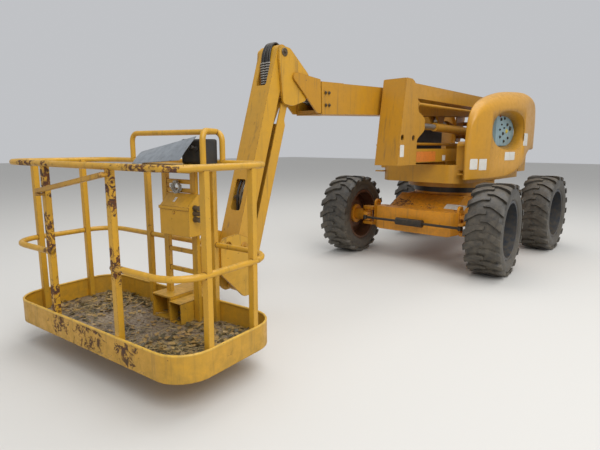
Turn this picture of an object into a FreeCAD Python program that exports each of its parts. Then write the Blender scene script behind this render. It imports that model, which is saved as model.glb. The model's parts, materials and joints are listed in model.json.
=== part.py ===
import FreeCAD, Part
import math
import os
import re
import Sketcher

# Articulating boom lift with a jib, millimetres.
# The origin is on the ground under the slew centre. +X points to the basket, +Y to the side
# that carries the ground controls, +Z up. The machine stands stowed: arms and boom down,
# jib hanging, basket just above the ground.

V = FreeCAD.Vector
doc = FreeCAD.newDocument("BoomLift")
sheet = doc.addObject("Spreadsheet::Sheet", "Dims")

# Driving dimensions: name, value in millimetres or degrees, meaning
SIZES = [
    # Wheels and axles
    ("tyre_dia", 1020, "over the lugs"),
    ("tyre_width", 386, "over the sidewalls"),
    ("tyre_shoulder", 46, "rounding between tread and sidewall"),
    ("lug_height", 30, "tread lugs above the carcass"),
    ("rim_dia", 626, "bead seat"),
    ("rim_width", 330, "between the outer flange faces"),
    ("rim_lip", 16, "flange height above the bead seat"),
    ("rim_wall", 12, "well thickness"),
    ("flange_lip", 10, "rim flange thickness"),
    ("rim_disc", 16, "disc thickness"),
    ("disc_inset", 30, "disc outer face inside the wheel's middle plane"),
    ("hub_dia", 230, "drive hub cover"),
    ("hub_out", 95, "drive hub cover beyond the disc"),
    ("wheelbase", 1880, "front to rear axle"),
    ("track", 1904, "between the wheels' middle planes"),
    ("steer_left_rest", 5.0, "front left wheel as parked"),
    ("steer_right_rest", 3.8, "front right wheel as parked"),
    ("kingpin_y", 700, "kingpins from the middle"),
    ("kingpin_dia", 46, "kingpins"),
    ("knuckle_dia", 112, "knuckle barrels"),
    ("knuckle_tall", 150, "knuckle barrels"),
    ("spindle_dia", 150, "wheel spindles"),
    ("flange_dia", 250, "wheel flanges"),
    ("flange_thick", 24, "wheel flanges"),
    ("axle_deep", 200, "axle beams along X"),
    ("axle_tall", 290, "axle beams"),
    ("axle_half", 590, "axle beams from the middle to the yokes"),
    ("yoke_plate", 38, "kingpin yoke plates"),
    ("yoke_half", 66, "half the yoke plates' width"),
    ("pin_gap", 0.3, "running gap round a pin"),
    ("side_gap", 5, "running gap beside a moving plate"),
    ("lug_eye_y", 560, "tie-down eyes from the middle"),
    ("lug_eye_dia", 50, "tie-down eyes"),
    ("lug_plate", 30, "tie-down plates"),
    ("tie_rod_z", 500, "steering cylinder and tie rods above the ground"),
    ("tie_rod_x", 1106, "steering cylinder ahead of the slew centre"),
    ("tie_rod_dia", 30, "tie rods"),
    ("tie_rod_half", 640, "tie rod eyes from the middle"),
    ("steer_barrel_dia", 90, "steering cylinder"),
    ("steer_barrel_long", 350, "steering cylinder"),
    # Chassis
    ("frame_half", 375, "half the chassis box's width"),
    ("frame_wall", 16, "chassis box plate"),
    ("frame_room", 260, "open belly of the chassis box"),
    ("frame_top", 800, "chassis box above the ground"),
    ("frame_low", 430, "belly above the ground"),
    ("deck_low", 655, "deck plate at the axle beams"),
    ("ring_radius", 500, "slew ring"),
    ("ring_low", 830, "slew ring's lower face"),
    ("ring_high", 900, "slew ring's upper face"),
    ("ring_tooth", 16, "slew ring's teeth"),
    ("ring_teeth", 72, "number of slew ring teeth"),
    # Turntable
    ("base_thick", 80, "turntable base plate"),
    ("tub_front", 950, "front wall of the tub"),
    ("tub_rear", 980, "rear end of the tub"),
    ("tub_half", 555, "half the tub's width"),
    ("tub_low", 985, "tub floor above the ground"),
    ("tub_high", 1200, "tub rim above the ground"),
    ("tub_wall", 15, "tub plate"),
    ("cheek_high", 1470, "cheeks beside the arms"),
    ("cheek_long", 420, "cheeks along X"),
    ("cheek_thick", 100, "cheeks across"),
    ("hood_inner", 575, "hoods' open side from the middle"),
    ("hood_wall", 24, "hood shell"),
    ("hinge_x", 928, "hood hinges"),
    ("hinge_y", 598, "hood hinges"),
    ("port_x", -60, "middle of the port"),
    ("port_z", 1625, "middle of the port"),
    ("port_long", 800, "port over its round ends"),
    ("port_tall", 470, "port"),
    ("weight_rear", 1450, "rear face of the counterweight"),
    ("weight_front", 1010, "front face of the counterweight"),
    ("weight_half", 560, "half the counterweight's width"),
    ("weight_low", 1060, "counterweight's lower face"),
    ("weight_high", 1450, "counterweight's upper face"),
    # Arms, in the plane beside the boom
    ("arm_y", 160, "middle plane of the arms"),
    ("arm_wide", 270, "arms across"),
    ("arm_tall", 150, "arm sections"),
    ("arm_wall", 12, "arm plate"),
    ("lower_pin_x", -850, "lower arm's rear pin"),
    ("lower_pin_z", 1310, "lower arm's pins"),
    ("arm_length", 2570, "between an arm's pins"),
    ("upper_pin_x", 1640, "upper arm's front pin"),
    ("upper_pin_z", 1990, "upper arm's pins"),
    ("arm_ram_x", -450, "lift cylinder's foot on the lower arm"),
    ("arm_ram_z", 1600, "lift cylinder's foot above the ground"),
    ("arm_pin_dia", 60, "arm pins"),
    ("link_back", 120, "parallel links' pins behind the arms' pins"),
    ("link_drop", 130, "parallel links' pins below the upper arm's pins"),
    ("link_dia", 40, "parallel link rods"),
    ("upright_plate", 14, "upright's side plates"),
    # Main boom
    ("boom_y", -180, "middle plane of the boom and the jib"),
    ("boom_pin_x", -1000, "boom's rear pin"),
    ("boom_pin_z", 2000, "boom's rear pin"),
    ("boom_tilt", 2.4, "boom nose down as parked"),
    ("boom_wide", 310, "outer section across"),
    ("boom_tall", 284, "outer section"),
    ("boom_wall", 10, "outer section's plate"),
    ("boom_tail", 110, "outer section behind its pin"),
    ("boom_front", 3773, "outer section's front end from its pin"),
    ("fly_wide", 252, "inner section across"),
    ("fly_tall", 226, "inner section"),
    ("fly_wall", 9, "inner section's plate"),
    ("fly_rear", 420, "inner section's rear end from the boom's pin"),
    ("head_plate", 15, "boom head's side plates"),
    ("boom_pin_dia", 70, "boom pin"),
    # Jib
    ("head_pin_x", 2980, "jib knuckle's pin on the boom head"),
    ("head_pin_z", 1975, "jib knuckle's pin on the boom head"),
    ("jib_pin_x", 3231, "jib's upper pin"),
    ("jib_pin_z", 2176, "jib's upper pin"),
    ("jib_tilt", 73.2, "jib below the horizontal as parked"),
    ("jib_length", 1634, "between the jib's pins"),
    ("jib_wide", 220, "jib across"),
    ("jib_deep", 125, "jib section"),
    ("jib_wall", 9, "jib plate"),
    ("link_across", 153, "jib link's pins behind the jib's pins, across the jib"),
    ("link_along", 346, "jib link's pins beyond the jib's pins, along the jib"),
    ("link_deep", 96, "jib link section"),
    ("link_wide", 200, "jib link across"),
    ("jib_pin_dia", 44, "jib pins"),
    ("knuckle_plate", 20, "jib knuckle's and basket carrier's side plates"),
    # Basket, in its own frame turned about the rotator
    ("carrier_hole_x", 3866, "round hole through the carrier's side plates"),
    ("carrier_hole_z", 640, "round hole above the ground"),
    ("carrier_hole_dia", 64, "round hole across"),
    ("rotator_x", 4015, "rotator axis"),
    ("rotator_y", -150, "rotator axis"),
    ("rotator_z", 400, "lower face of the rotator"),
    ("basket_turn", 7, "basket as parked"),
    ("basket_reach", 617, "basket's middle ahead of the rotator axis"),
    ("basket_long", 1800, "across the machine"),
    ("basket_wide", 800, "along the machine"),
    ("basket_corner", 200, "rounding of the basket's corners"),
    ("floor_z", 190, "basket floor's lower face"),
    ("floor_thick", 8, "basket floor plate"),
    ("toe_high", 155, "toe board"),
    ("toe_thick", 6, "toe board plate"),
    ("rail_dia", 38, "rails"),
    ("post_side", 40, "square posts"),
    ("foot_wide", 200, "open tube under the console"),
    ("foot_tall", 170, "open tube under the console"),
    ("top_rail", 1300, "top rail above the ground"),
    ("mid_rail", 745, "middle rail above the ground"),
]

for row, (alias, value, note) in enumerate(SIZES, 1):
    sheet.set("A%d" % row, str(value))
    sheet.setAlias("A%d" % row, alias)
    sheet.set("B%d" % row, note)
doc.recompute()
NAMES = {row[0] for row in SIZES}


def ref(formula):
    """Point each size name in a formula at its cell."""
    def cell(word):
        return "Dims." + word.group(0) if word.group(0) in NAMES else word.group(0)
    return re.sub(r"[a-z][a-z_0-9]*", cell, str(formula))


def number(formula):
    """Present value of a formula."""
    return float(sheet.evalExpression(ref(formula)))


def bind(thing, **formulas):
    """Tie properties to formulas; a double underscore stands for a dot."""
    for name, formula in formulas.items():
        thing.setExpression(name.replace("__", "."), ref(formula))
    return thing


def place(thing, x="0", y="0", z="0", about="Z", turn="0"):
    """Put a sub-part down, turned about one of the axes."""
    turned = {"X": V(1, 0, 0), "Y": V(0, 1, 0), "Z": V(0, 0, 1)}[about]
    thing.Placement = FreeCAD.Placement(V(0, 0, 0), FreeCAD.Rotation(turned, number(turn)))
    bind(thing, Placement__Base__x=x, Placement__Base__y=y, Placement__Base__z=z)
    if turn != "0":
        bind(thing, Placement__Rotation__Angle=turn)
    return thing


def origin_plane(body, role):
    return [item for item in body.Origin.OriginFeatures if item.Role == role][0]


def sketch_on(body, name, plane, height):
    """Empty sketch parallel to a plane of the body's own origin."""
    sketch = body.newObject("Sketcher::SketchObject", name + "_sketch")
    sketch.AttachmentSupport = (origin_plane(body, plane + "_Plane"), "")
    sketch.MapMode = "FlatFace"
    bind(sketch, AttachmentOffset__Base__z=height)
    return sketch


def fix_point(sketch, geometry, point, x, y):
    """Tie a point of the sketch to two formulas."""
    for kind, formula in (("DistanceX", x), ("DistanceY", y)):
        constraint = Sketcher.Constraint(kind, -1, 1, geometry, point, number(formula))
        index = sketch.addConstraint(constraint)
        sketch.setExpression("Constraints[%d]" % index, ref(formula))


def add_circle(sketch, x, y, radius):
    middle = V(number(x), number(y), 0)
    index = sketch.addGeometry(Part.Circle(middle, V(0, 0, 1), number(radius)))
    fix_point(sketch, index, 3, x, y)
    size = sketch.addConstraint(Sketcher.Constraint("Radius", index, number(radius)))
    sketch.setExpression("Constraints[%d]" % size, ref(radius))


def add_outline(sketch, corners):
    """Closed outline of straight edges; a corner is (x, y) or (x, y, rounding)."""
    points = [V(number(corner[0]), number(corner[1]), 0) for corner in corners]
    count = len(corners)
    ends = []
    for index, corner in enumerate(corners):
        here = points[index]
        back = (points[index - 1] - here).normalize()
        ahead = (points[(index + 1) % count] - here).normalize()
        if len(corner) == 2:
            ends.append((here, here, None))
            continue
        radius = number(corner[2])
        half = back.getAngle(ahead) / 2
        reach = radius / math.tan(half)
        bisector = (back + ahead).normalize()
        middle = here + bisector * (radius / math.sin(half))
        ends.append((here + back * reach, here + ahead * reach, middle))
    lines = []
    for index in range(count):
        start, stop = ends[index][1], ends[(index + 1) % count][0]
        lines.append(sketch.addGeometry(Part.LineSegment(start, stop)))
    for index, corner in enumerate(corners):
        before, after = lines[index - 1], lines[index]
        if len(corner) == 2:
            sketch.addConstraint(Sketcher.Constraint("Coincident", before, 2, after, 1))
            fix_point(sketch, after, 1, corner[0], corner[1])
            continue
        start, stop, middle = ends[index]
        chord = (start + stop) / 2
        crown = middle + (chord - middle).normalize() * number(corner[2])
        arc = sketch.addGeometry(Part.Arc(start, crown, stop))
        turned = (start - middle).cross(stop - middle).z > 0
        first, last = (1, 2) if turned else (2, 1)
        sketch.addConstraint(Sketcher.Constraint("Tangent", before, 2, arc, first))
        sketch.addConstraint(Sketcher.Constraint("Tangent", after, 1, arc, last))
        size = sketch.addConstraint(Sketcher.Constraint("Radius", arc, number(corner[2])))
        sketch.setExpression("Constraints[%d]" % size, ref(corner[2]))
        spot = sketch.addGeometry(Part.Point(points[index]), True)
        sketch.addConstraint(Sketcher.Constraint("PointOnObject", spot, 1, before))
        sketch.addConstraint(Sketcher.Constraint("PointOnObject", spot, 1, after))
        fix_point(sketch, spot, 1, corner[0], corner[1])


def profile(body, name, plane, start, thick, corners, holes=()):
    """Sketch of a slab that runs from start to start + thick along the plane's axis."""
    height = "-(%s) - (%s)" % (start, thick) if plane == "XZ" else start
    sketch = sketch_on(body, name, plane, height)
    if corners:
        add_outline(sketch, corners)
    for x, y, radius in holes:
        add_circle(sketch, x, y, radius)
    return sketch


def slab(name, plane, start, thick, corners, holes=(), body=None):
    """Plate or block: an outline padded along the plane's axis."""
    body = body or doc.addObject("PartDesign::Body", name)
    pad = body.newObject("PartDesign::Pad", name + "_pad")
    sketch = profile(body, name, plane, start, thick, corners, holes)
    pad.Profile = sketch
    bind(pad, Length=thick)
    body.Tip = pad
    return body


def pocket(body, name, plane, start, thick, corners, holes=()):
    """Cut an outline out of a body between start and start + thick."""
    doc.recompute()
    before = body.Shape.Volume
    sketch = profile(body, name, plane, start, thick, corners, holes)
    cut = body.newObject("PartDesign::Pocket", name + "_pocket")
    cut.Profile = sketch
    cut.Reversed = True
    bind(cut, Length=thick)
    body.Tip = cut
    doc.recompute()
    if body.Shape.Volume > before - 1:
        raise ValueError(name + " cuts nothing")
    return body


def turned(name, corners, body=None):
    """Body turned about Y; corners are (y, radius) pairs."""
    body = body or doc.addObject("PartDesign::Body", name)
    sketch = sketch_on(body, name, "YZ", "0")
    add_outline(sketch, corners)
    spin = body.newObject("PartDesign::Revolution", name + "_turned")
    spin.Profile = sketch
    spin.ReferenceAxis = (sketch, ["H_Axis"])
    spin.Angle = 360
    body.Tip = spin
    return body


def box(name, x, y, z, long, wide, tall):
    """Block from its least corner."""
    item = doc.addObject("Part::Box", name)
    bind(item, Length=long, Width=wide, Height=tall)
    return place(item, x, y, z)


def rod(name, axis, x, y, z, length, radius):
    """Round bar that starts at a point and runs along an axis."""
    item = doc.addObject("Part::Cylinder", name)
    bind(item, Radius=radius, Height=length)
    about, turn = {"X": ("Y", "90"), "Y": ("X", "-90"), "Z": ("Z", "0")}[axis]
    return place(item, x, y, z, about, turn)


def cross_pin(name, x, z, y, wide, radius):
    """Round bar along Y, centred on y."""
    return rod(name, "Y", x, "%s - (%s) / 2" % (y, wide), z, wide, radius)


def fuse(name, parts, refine=True):
    item = doc.addObject("Part::MultiFuse", name)
    item.Shapes = parts
    item.Refine = refine
    return item


def cut(name, base, tools):
    """Base less the tools."""
    tool = tools[0] if len(tools) == 1 else fuse(name + "_tools", tools)
    item = doc.addObject("Part::Cut", name)
    item.Base = base
    item.Tool = tool
    item.Refine = True
    return item


def rect(x1, z1, x2, z2, *rounding):
    """Corners of an upright rectangle."""
    return [(x1, z1, *rounding), (x2, z1, *rounding), (x2, z2, *rounding), (x1, z2, *rounding)]


def tube_x(name, x, long, y, wide, z, tall, wall):
    """Square tube along X, centred on y and z."""
    def section(inset):
        half_y = "(%s) / 2 - %s" % (wide, inset)
        half_z = "(%s) / 2 - %s" % (tall, inset)
        return rect("%s - (%s)" % (y, half_y), "%s - (%s)" % (z, half_z),
                    "%s + (%s)" % (y, half_y), "%s + (%s)" % (z, half_z))
    body = slab(name, "YZ", x, long, section("0"))
    return pocket(body, name + "_bore", "YZ", x, long, section(wall))


NODES = []


def node(label, thing):
    """Register a sub-part under the name of its file."""
    thing.Label = label
    NODES.append(thing)
    return thing


# Wheels: a tyre and a rim each, turned about their own axis
def make_tyre(label):
    edge = "tyre_width / 2"
    top = "tyre_dia / 2"
    seat = "rim_dia / 2"
    bead = "rim_width / 2 - flange_lip - pin_gap"
    corners = [
        ("-(%s)" % bead, seat),
        ("-(%s)" % bead, seat + " + rim_lip + 1"),
        ("-" + edge, seat + " + 50", "20"),
        ("-" + edge, top + " - 90", "40"),
        ("-%s + 14" % edge, top, "12"),
        (edge + " - 14", top, "12"),
        (edge, top + " - 90", "40"),
        (edge, seat + " + 50", "20"),
        (bead, seat + " + rim_lip + 1"),
        (bead, seat),
    ]
    return node(label, turned(label, corners))


def make_rim(label, side):
    """Rim with its disc near the inner side; side is +1 where the outside is +Y."""
    flip = "%d * " % side
    well = "rim_dia / 2 - pin_gap"
    out = "rim_width / 2"
    disc = "-disc_inset"
    corners = [
        ("-" + out, well), ("-" + out, well + " + rim_lip"), ("-%s + flange_lip" % out, well + " + rim_lip"),
        ("-%s + flange_lip" % out, well), (out + " - flange_lip", well), (out + " - flange_lip", well + " + rim_lip"),
        (out, well + " + rim_lip"), (out, well + " - rim_wall"),
        (disc + " + 60", well + " - rim_wall"), (disc, "hub_dia / 2 + 60"), (disc, "hub_dia / 2"),
        (disc + " + hub_out", "hub_dia / 2 - 12"), (disc + " + hub_out", "0"),
        (disc + " - rim_disc", "0"), (disc + " - rim_disc", "hub_dia / 2 + 66"),
        (disc + " + 38", well + " - rim_wall"), ("-" + out, well + " - rim_wall"),
    ]
    corners = [(flip + "(%s)" % y, r) for y, r in corners]
    return node(label, turned(label, corners))


# side: +1 left, -1 right; end: +1 front, -1 rear; rest: wheel's turn as parked
WHEELS = [
    ("front_left", 1, 1, "steer_left_rest"),
    ("front_right", -1, 1, "steer_right_rest"),
    ("rear_left", 1, -1, "0"),
    ("rear_right", -1, -1, "0"),
]
for corner_name, side, end, rest in WHEELS:
    reach = "track / 2 - kingpin_y"
    x = "%d * wheelbase / 2 - %d * (%s) * sin(%s)" % (end, side, reach, rest)
    y = "%d * (kingpin_y + (%s) * cos(%s))" % (side, reach, rest)
    place(make_tyre("tyre_" + corner_name), x, y, "tyre_dia / 2", "Z", rest)
    place(make_rim("rim_" + corner_name, side), x, y, "tyre_dia / 2", "Z", rest)


# Front knuckles: kingpin, barrel, spindle, flange and steering arm, about the kingpin's axis
def make_knuckle(label, side, rest):
    name = label
    flange_y = "track / 2 - kingpin_y - disc_inset - rim_disc - flange_thick - pin_gap"
    lever_x = "tie_rod_x - wheelbase / 2"
    pieces = [
        rod(name + "_barrel", "Z", "0", "0", "-knuckle_tall / 2", "knuckle_tall", "knuckle_dia / 2"),
        rod(name + "_pin", "Z", "0", "0", "-knuckle_tall / 2 - yoke_plate - side_gap",
            "knuckle_tall + 2 * yoke_plate + 2 * side_gap", "kingpin_dia / 2"),
    ]
    spindle = rod(name + "_spindle", "Y", "0", "0" if side > 0 else "-(%s)" % flange_y, "0",
                  flange_y, "spindle_dia / 2")
    flange = rod(name + "_flange", "Y", "0",
                 flange_y if side > 0 else "-(%s) - flange_thick" % flange_y, "0",
                 "flange_thick", "flange_dia / 2")
    back = "%d * (tie_rod_half - kingpin_y)" % side
    lever = slab(name + "_lever", "XY", "tie_rod_z - tyre_dia / 2 + 31", "24",
                 [("-12", "-44"), (lever_x + " + 28", back + " - 30", "12"),
                  (lever_x + " + 28", back + " + 30", "12"), ("-12", "44")])
    thing = fuse(label, pieces + [spindle, flange, lever], refine=False)
    return node(label, place(thing, "wheelbase / 2", "%d * kingpin_y" % side, "tyre_dia / 2",
                             "Z", rest))


for side_name, side, rest in (("left", 1, "steer_left_rest"), ("right", -1, "steer_right_rest")):
    make_knuckle("knuckle_" + side_name, side, rest)


# Axle beams
def beam_section(end):
    """Beam seen from the front: belly cut away below the middle."""
    low = "tyre_dia / 2 - axle_tall / 2"
    high = "tyre_dia / 2 + axle_tall / 2"
    return [
        ("-axle_half", low + " + 40"), ("-axle_half + 130", low), ("axle_half - 130", low),
        ("axle_half", low + " + 40"), ("axle_half", high), ("-axle_half", high),
    ]


def make_axle(label, end):
    x = "%d * wheelbase / 2" % end
    near = x + " - axle_deep / 2"
    beam = slab(label + "_beam", "YZ", near, "axle_deep", beam_section(end))
    for side in (1, -1):
        for face in (1, -1):
            edge = "%s + %d * axle_deep / 2" % (x, face)
            pocket(beam, "%s_corner_%d_%d" % (label, side + 1, face + 1), "XY",
                   "tyre_dia / 2 - axle_tall / 2 - 1", "axle_tall + 2",
                   [("%s + %d" % (edge, face), "%d * (axle_half - 90)" % side),
                    ("%s + %d" % (edge, face), "%d * (axle_half + 1)" % side),
                    ("%s + %d * 35" % (x, face), "%d * (axle_half + 1)" % side)])
    parts = [beam]
    for side in (1, -1):
        tag = "%s_%s" % (label, "left" if side > 0 else "right")
        eye_y = "%d * lug_eye_y - lug_plate / 2" % side
        eye = slab(tag + "_eye", "XZ", eye_y, "lug_plate",
                   [(x + " - 55", "tyre_dia / 2"), (x + " + 55", "tyre_dia / 2"),
                    (x + " + 55", "tyre_dia / 2 + axle_tall / 2 + 75", "50"),
                    (x + " - 55", "tyre_dia / 2 + axle_tall / 2 + 75", "50")],
                   holes=[(x, "tyre_dia / 2 + axle_tall / 2 + 28", "lug_eye_dia / 2")])
        parts.append(eye)
        root = "%d * (axle_half - 5)" % side
        tip = "%d * (kingpin_y + yoke_half)" % side
        if end > 0:
            for level, z in (("top", "knuckle_tall / 2 + side_gap"),
                             ("low", "-knuckle_tall / 2 - side_gap - yoke_plate")):
                plate = slab("%s_yoke_%s" % (tag, level), "XY", "tyre_dia / 2 + " + z, "yoke_plate",
                             [(x + " - yoke_half", root), (x + " + yoke_half", root),
                              (x + " + yoke_half", tip, "50"), (x + " - yoke_half", tip, "50")],
                             holes=[(x, "%d * kingpin_y" % side, "kingpin_dia / 2 + pin_gap")])
                parts.append(plate)
        else:
            hub_y = "track / 2 - disc_inset - rim_disc - pin_gap"
            start = "axle_half - 5"
            tube_y = start if side > 0 else "-(%s)" % hub_y
            flange_y = hub_y + " - flange_thick" if side > 0 else "-(%s)" % hub_y
            parts.append(rod(tag + "_tube", "Y", x, tube_y, "tyre_dia / 2",
                             "%s - (%s)" % (hub_y, start), "spindle_dia / 2"))
            parts.append(rod(tag + "_flange", "Y", x, flange_y, "tyre_dia / 2",
                             "flange_thick", "flange_dia / 2"))
    return node(label, fuse(label, parts))


front_axle = make_axle("front_axle", 1)
rear_axle = make_axle("rear_axle", -1)

# Steering cylinder on the front axle, and its through rod with the tie rods
barrel_y = "-steer_barrel_long / 2"
barrel = rod("steer_barrel", "Y", "tie_rod_x", barrel_y, "tie_rod_z", "steer_barrel_long",
             "steer_barrel_dia / 2")
steer_feet = [
    box("steer_foot_%d" % index, "wheelbase / 2 + axle_deep / 2", y, "tie_rod_z - 30",
        "tie_rod_x - wheelbase / 2 - axle_deep / 2", "24", "60")
    for index, y in enumerate(("-steer_barrel_long / 2 + 20", "steer_barrel_long / 2 - 44"))
]
steer_bore = rod("steer_bore", "Y", "tie_rod_x", barrel_y + " - 1", "tie_rod_z",
                 "steer_barrel_long + 2", "tie_rod_dia / 2 + pin_gap")
node("steering_cylinder", cut("steering_cylinder", fuse("steer_body", [barrel] + steer_feet),
                              [steer_bore]))
tie_bar = rod("tie_bar", "Y", "tie_rod_x", "-tie_rod_half", "tie_rod_z", "2 * tie_rod_half",
              "tie_rod_dia / 2")
tie_ends = []
for side in (1, -1):
    tie_ends.append(rod("tie_eye_%d" % (side + 1), "Z", "tie_rod_x", "%d * tie_rod_half" % side,
                        "tie_rod_z - 25", "50", "26"))
node("tie_rods", fuse("tie_rods", [tie_bar] + tie_ends))

# Chassis box between the axles, with its ring seat
in_face = "wheelbase / 2 - axle_deep / 2"
frame_side = [
    ("-(%s)" % in_face, "frame_low + 60"), ("-600", "frame_low"), ("600", "frame_low"),
    (in_face, "frame_low + 60"), (in_face, "deck_low"), ("ring_radius + 40", "frame_top"),
    ("-ring_radius - 40", "frame_top"), ("-(%s)" % in_face, "deck_low"),
]
frame_box = slab("frame_box", "XZ", "-frame_half", "2 * frame_half", frame_side)
frame_box = pocket(frame_box, "frame_belly", "XY", "frame_low - 1", "frame_room + 1",
                   rect("-600", "-frame_half + frame_wall", "600", "frame_half - frame_wall"))
ring_seat = rod("ring_seat", "Z", "0", "0", "frame_top - 20", "ring_low - frame_top + 20",
                "ring_radius - 30")
deck_wings = []
for end in (1, -1):
    far = "%d * (wheelbase / 2 - axle_deep / 2)" % end
    deck_wings.append(slab("deck_wing_%d" % (end + 1), "XZ", "-frame_half - 60",
                           "2 * frame_half + 120",
                           [(far, "deck_low - 12"), (far, "deck_low"),
                            ("%d * (ring_radius + 40)" % end, "frame_top"),
                            ("%d * (ring_radius + 40)" % end, "frame_top - 12")]))
node("chassis_frame", fuse("chassis_frame", [frame_box, ring_seat] + deck_wings))

# Slew ring with outer teeth
ring = rod("ring_race", "Z", "0", "0", "ring_low", "ring_high - ring_low",
           "ring_radius - ring_tooth")
ring_hole = rod("ring_hole", "Z", "0", "0", "ring_low - 1", "ring_high - ring_low + 2",
                "ring_radius - 110")
node("slew_ring", cut("slew_ring", ring, [ring_hole]))


# Turntable base, arm plates and tub
base = rod("base_disc", "Z", "0", "0", "ring_high", "base_thick", "ring_radius + 60")
arm_in = "arm_wide / 2 + side_gap"
plate_rear = "pin_gap - weight_front"
plate_side = [
    (plate_rear, "ring_high + base_thick - 10"), ("560", "ring_high + base_thick - 10"),
    ("500", "1120", "60"), ("-450", "1180", "200"), ("-690", "1510", "90"), (plate_rear, "1510", "40"),
]
arm_plates = []
for side in (1, -1):
    inner = "arm_y + %s" % arm_in if side > 0 else "arm_y - (%s) - 20" % arm_in
    arm_plates.append(slab("arm_plate_%d" % (side + 1), "XZ", inner, "20", plate_side))
pivot_pin = cross_pin("lower_pivot", "lower_pin_x", "lower_pin_z", "arm_y",
                      "2 * (%s) + 20" % arm_in, "arm_pin_dia / 2")
link_pin = cross_pin("link_pivot", "lower_pin_x - link_back", "lower_pin_z + link_drop", "arm_y",
                     "2 * (%s) + 20" % arm_in, "18")
node("turntable_frame", fuse("turntable_frame", [base] + arm_plates
                             + [pivot_pin, link_pin]))

HINGE_LEVELS = ("1090", "1420")
tub_plan = [
    ("-tub_rear", "-tub_half"), ("tub_front - 120", "-tub_half", "160"),
    ("tub_front", "-tub_half + 150", "120"), ("tub_front", "tub_half - 150", "120"),
    ("tub_front - 120", "tub_half", "160"), ("-tub_rear", "tub_half"),
]
tub_hull = slab("tub_hull", "XY", "tub_low", "tub_high - tub_low", tub_plan)
tub_well = slab("tub_well", "XY", "tub_low + tub_wall", "tub_high - tub_low", [
    ("-tub_rear - 1", "-tub_half + tub_wall"),
    ("tub_front - 120", "-tub_half + tub_wall", "145"),
    ("tub_front - tub_wall", "-tub_half + 150", "105"),
    ("tub_front - tub_wall", "tub_half - 150", "105"),
    ("tub_front - 120", "tub_half - tub_wall", "145"), ("-tub_rear - 1", "tub_half - tub_wall"),
])
tub_clear = box("tub_clear", "-1060", "arm_y - arm_wide / 2 - side_gap - 20", "tub_low - 1",
                "1640", "arm_wide + 2 * side_gap + 40", "base_thick + 10")
cheeks = []
for side in (1, -1):
    start = "tub_half - cheek_thick" if side > 0 else "-tub_half"
    cheeks.append(slab("cheek_%d" % (side + 1), "XZ", start, "cheek_thick", [
        ("tub_front - cheek_long - 40", "tub_high - 60"), ("tub_front - 60", "tub_high - 60"),
        ("tub_front - 50", "cheek_high", "60"), ("tub_front - cheek_long", "cheek_high", "40"),
    ]))
tub_shell = cut("tub_shell", tub_hull, [tub_well])
hinge_lugs = []
for side in (1, -1):
    for index, z in enumerate(HINGE_LEVELS):
        near, far = "%d * (hinge_y - 100)" % side, "%d * (hinge_y + 16)" % side
        hinge_lugs.append(slab("hinge_lug_%d_%d" % (side + 1, index), "XY", z, "16",
                               [("hinge_x - 60", near), ("hinge_x + 18", near),
                                ("hinge_x + 18", far, "12"), ("hinge_x - 16", far),
                                ("hinge_x - 16", "%d * (hood_inner - 8)" % side),
                                ("hinge_x - 60", "%d * (hood_inner - 30)" % side)],
                               holes=[("hinge_x", "%d * hinge_y" % side, "11 + pin_gap")]))
tub_shell = fuse("tub_walls", [tub_shell] + cheeks + hinge_lugs)
node("turntable_tub", cut("turntable_tub", tub_shell, [tub_clear]))

weight = slab("counterweight", "XY", "weight_low", "weight_high - weight_low", [
    ("-weight_rear", "-weight_half", "160"), ("-weight_front", "-weight_half"),
    ("-weight_front", "weight_half"), ("-weight_rear", "weight_half", "160"),
])
node("counterweight", weight)
engine = box("engine_block", "-500", "-740", "tub_high", "820", "340", "440")
node("engine_block", engine)
panel = slab("panel_face", "XZ", "600", "50",
             rect("port_x - 330", "port_z - 200", "port_x + 300", "port_z + 190", "60"))
panel_leg = box("panel_leg", "port_x - 60", "tub_half - tub_wall", "tub_high", "80", "80",
                "port_z - tub_high")
node("control_panel", fuse("control_panel", [panel, panel_leg]))


# Hoods: lofted shells on both sides, open towards the middle
# x, outer y, lower z, upper z, upper rounding, lower rounding
HOOD_SECTIONS = [
    (905, 640, 1032, 1770, 50, 30),
    (600, 735, 1034, 1950, 130, 60),
    (100, 805, 1042, 2070, 190, 90),
    (-500, 820, 1070, 2125, 210, 100),
    (-1000, 725, 1130, 2125, 130, 80),
    (-1380, 620, 1220, 1860, 36, 30),
]


def hood_loft(name, side, inset):
    """Loft through the hood's sections, drawn in by inset."""
    body = doc.addObject("PartDesign::Body", name)
    sketches = []
    for index, (x, out, low, high, top_round, low_round) in enumerate(HOOD_SECTIONS):
        shift = inset if index == len(HOOD_SECTIONS) - 1 else "-(%s)" % inset if index == 0 else "0"
        sketch = sketch_on(body, "%s_%d" % (name, index), "YZ", "%d + %s" % (x, shift))
        near = "%d * (hood_inner - %s)" % (side, "0" if inset == "0" else "20")
        far = "%d * (%d - %s)" % (side, out, inset)
        add_outline(sketch, [
            (near, "%d + %s" % (low, inset)),
            (far, "%d + %s" % (low, inset), "max(%d - %s; 8)" % (low_round, inset)),
            (far, "%d - %s" % (high, inset), "max(%d - %s; 8)" % (top_round, inset)),
            (near, "%d - %s" % (high, inset)),
        ])
        sketches.append(sketch)
    loft = body.newObject("PartDesign::AdditiveLoft", name + "_loft")
    loft.Profile = sketches[0]
    loft.Sections = sketches[1:]
    body.Tip = loft
    return body


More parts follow.
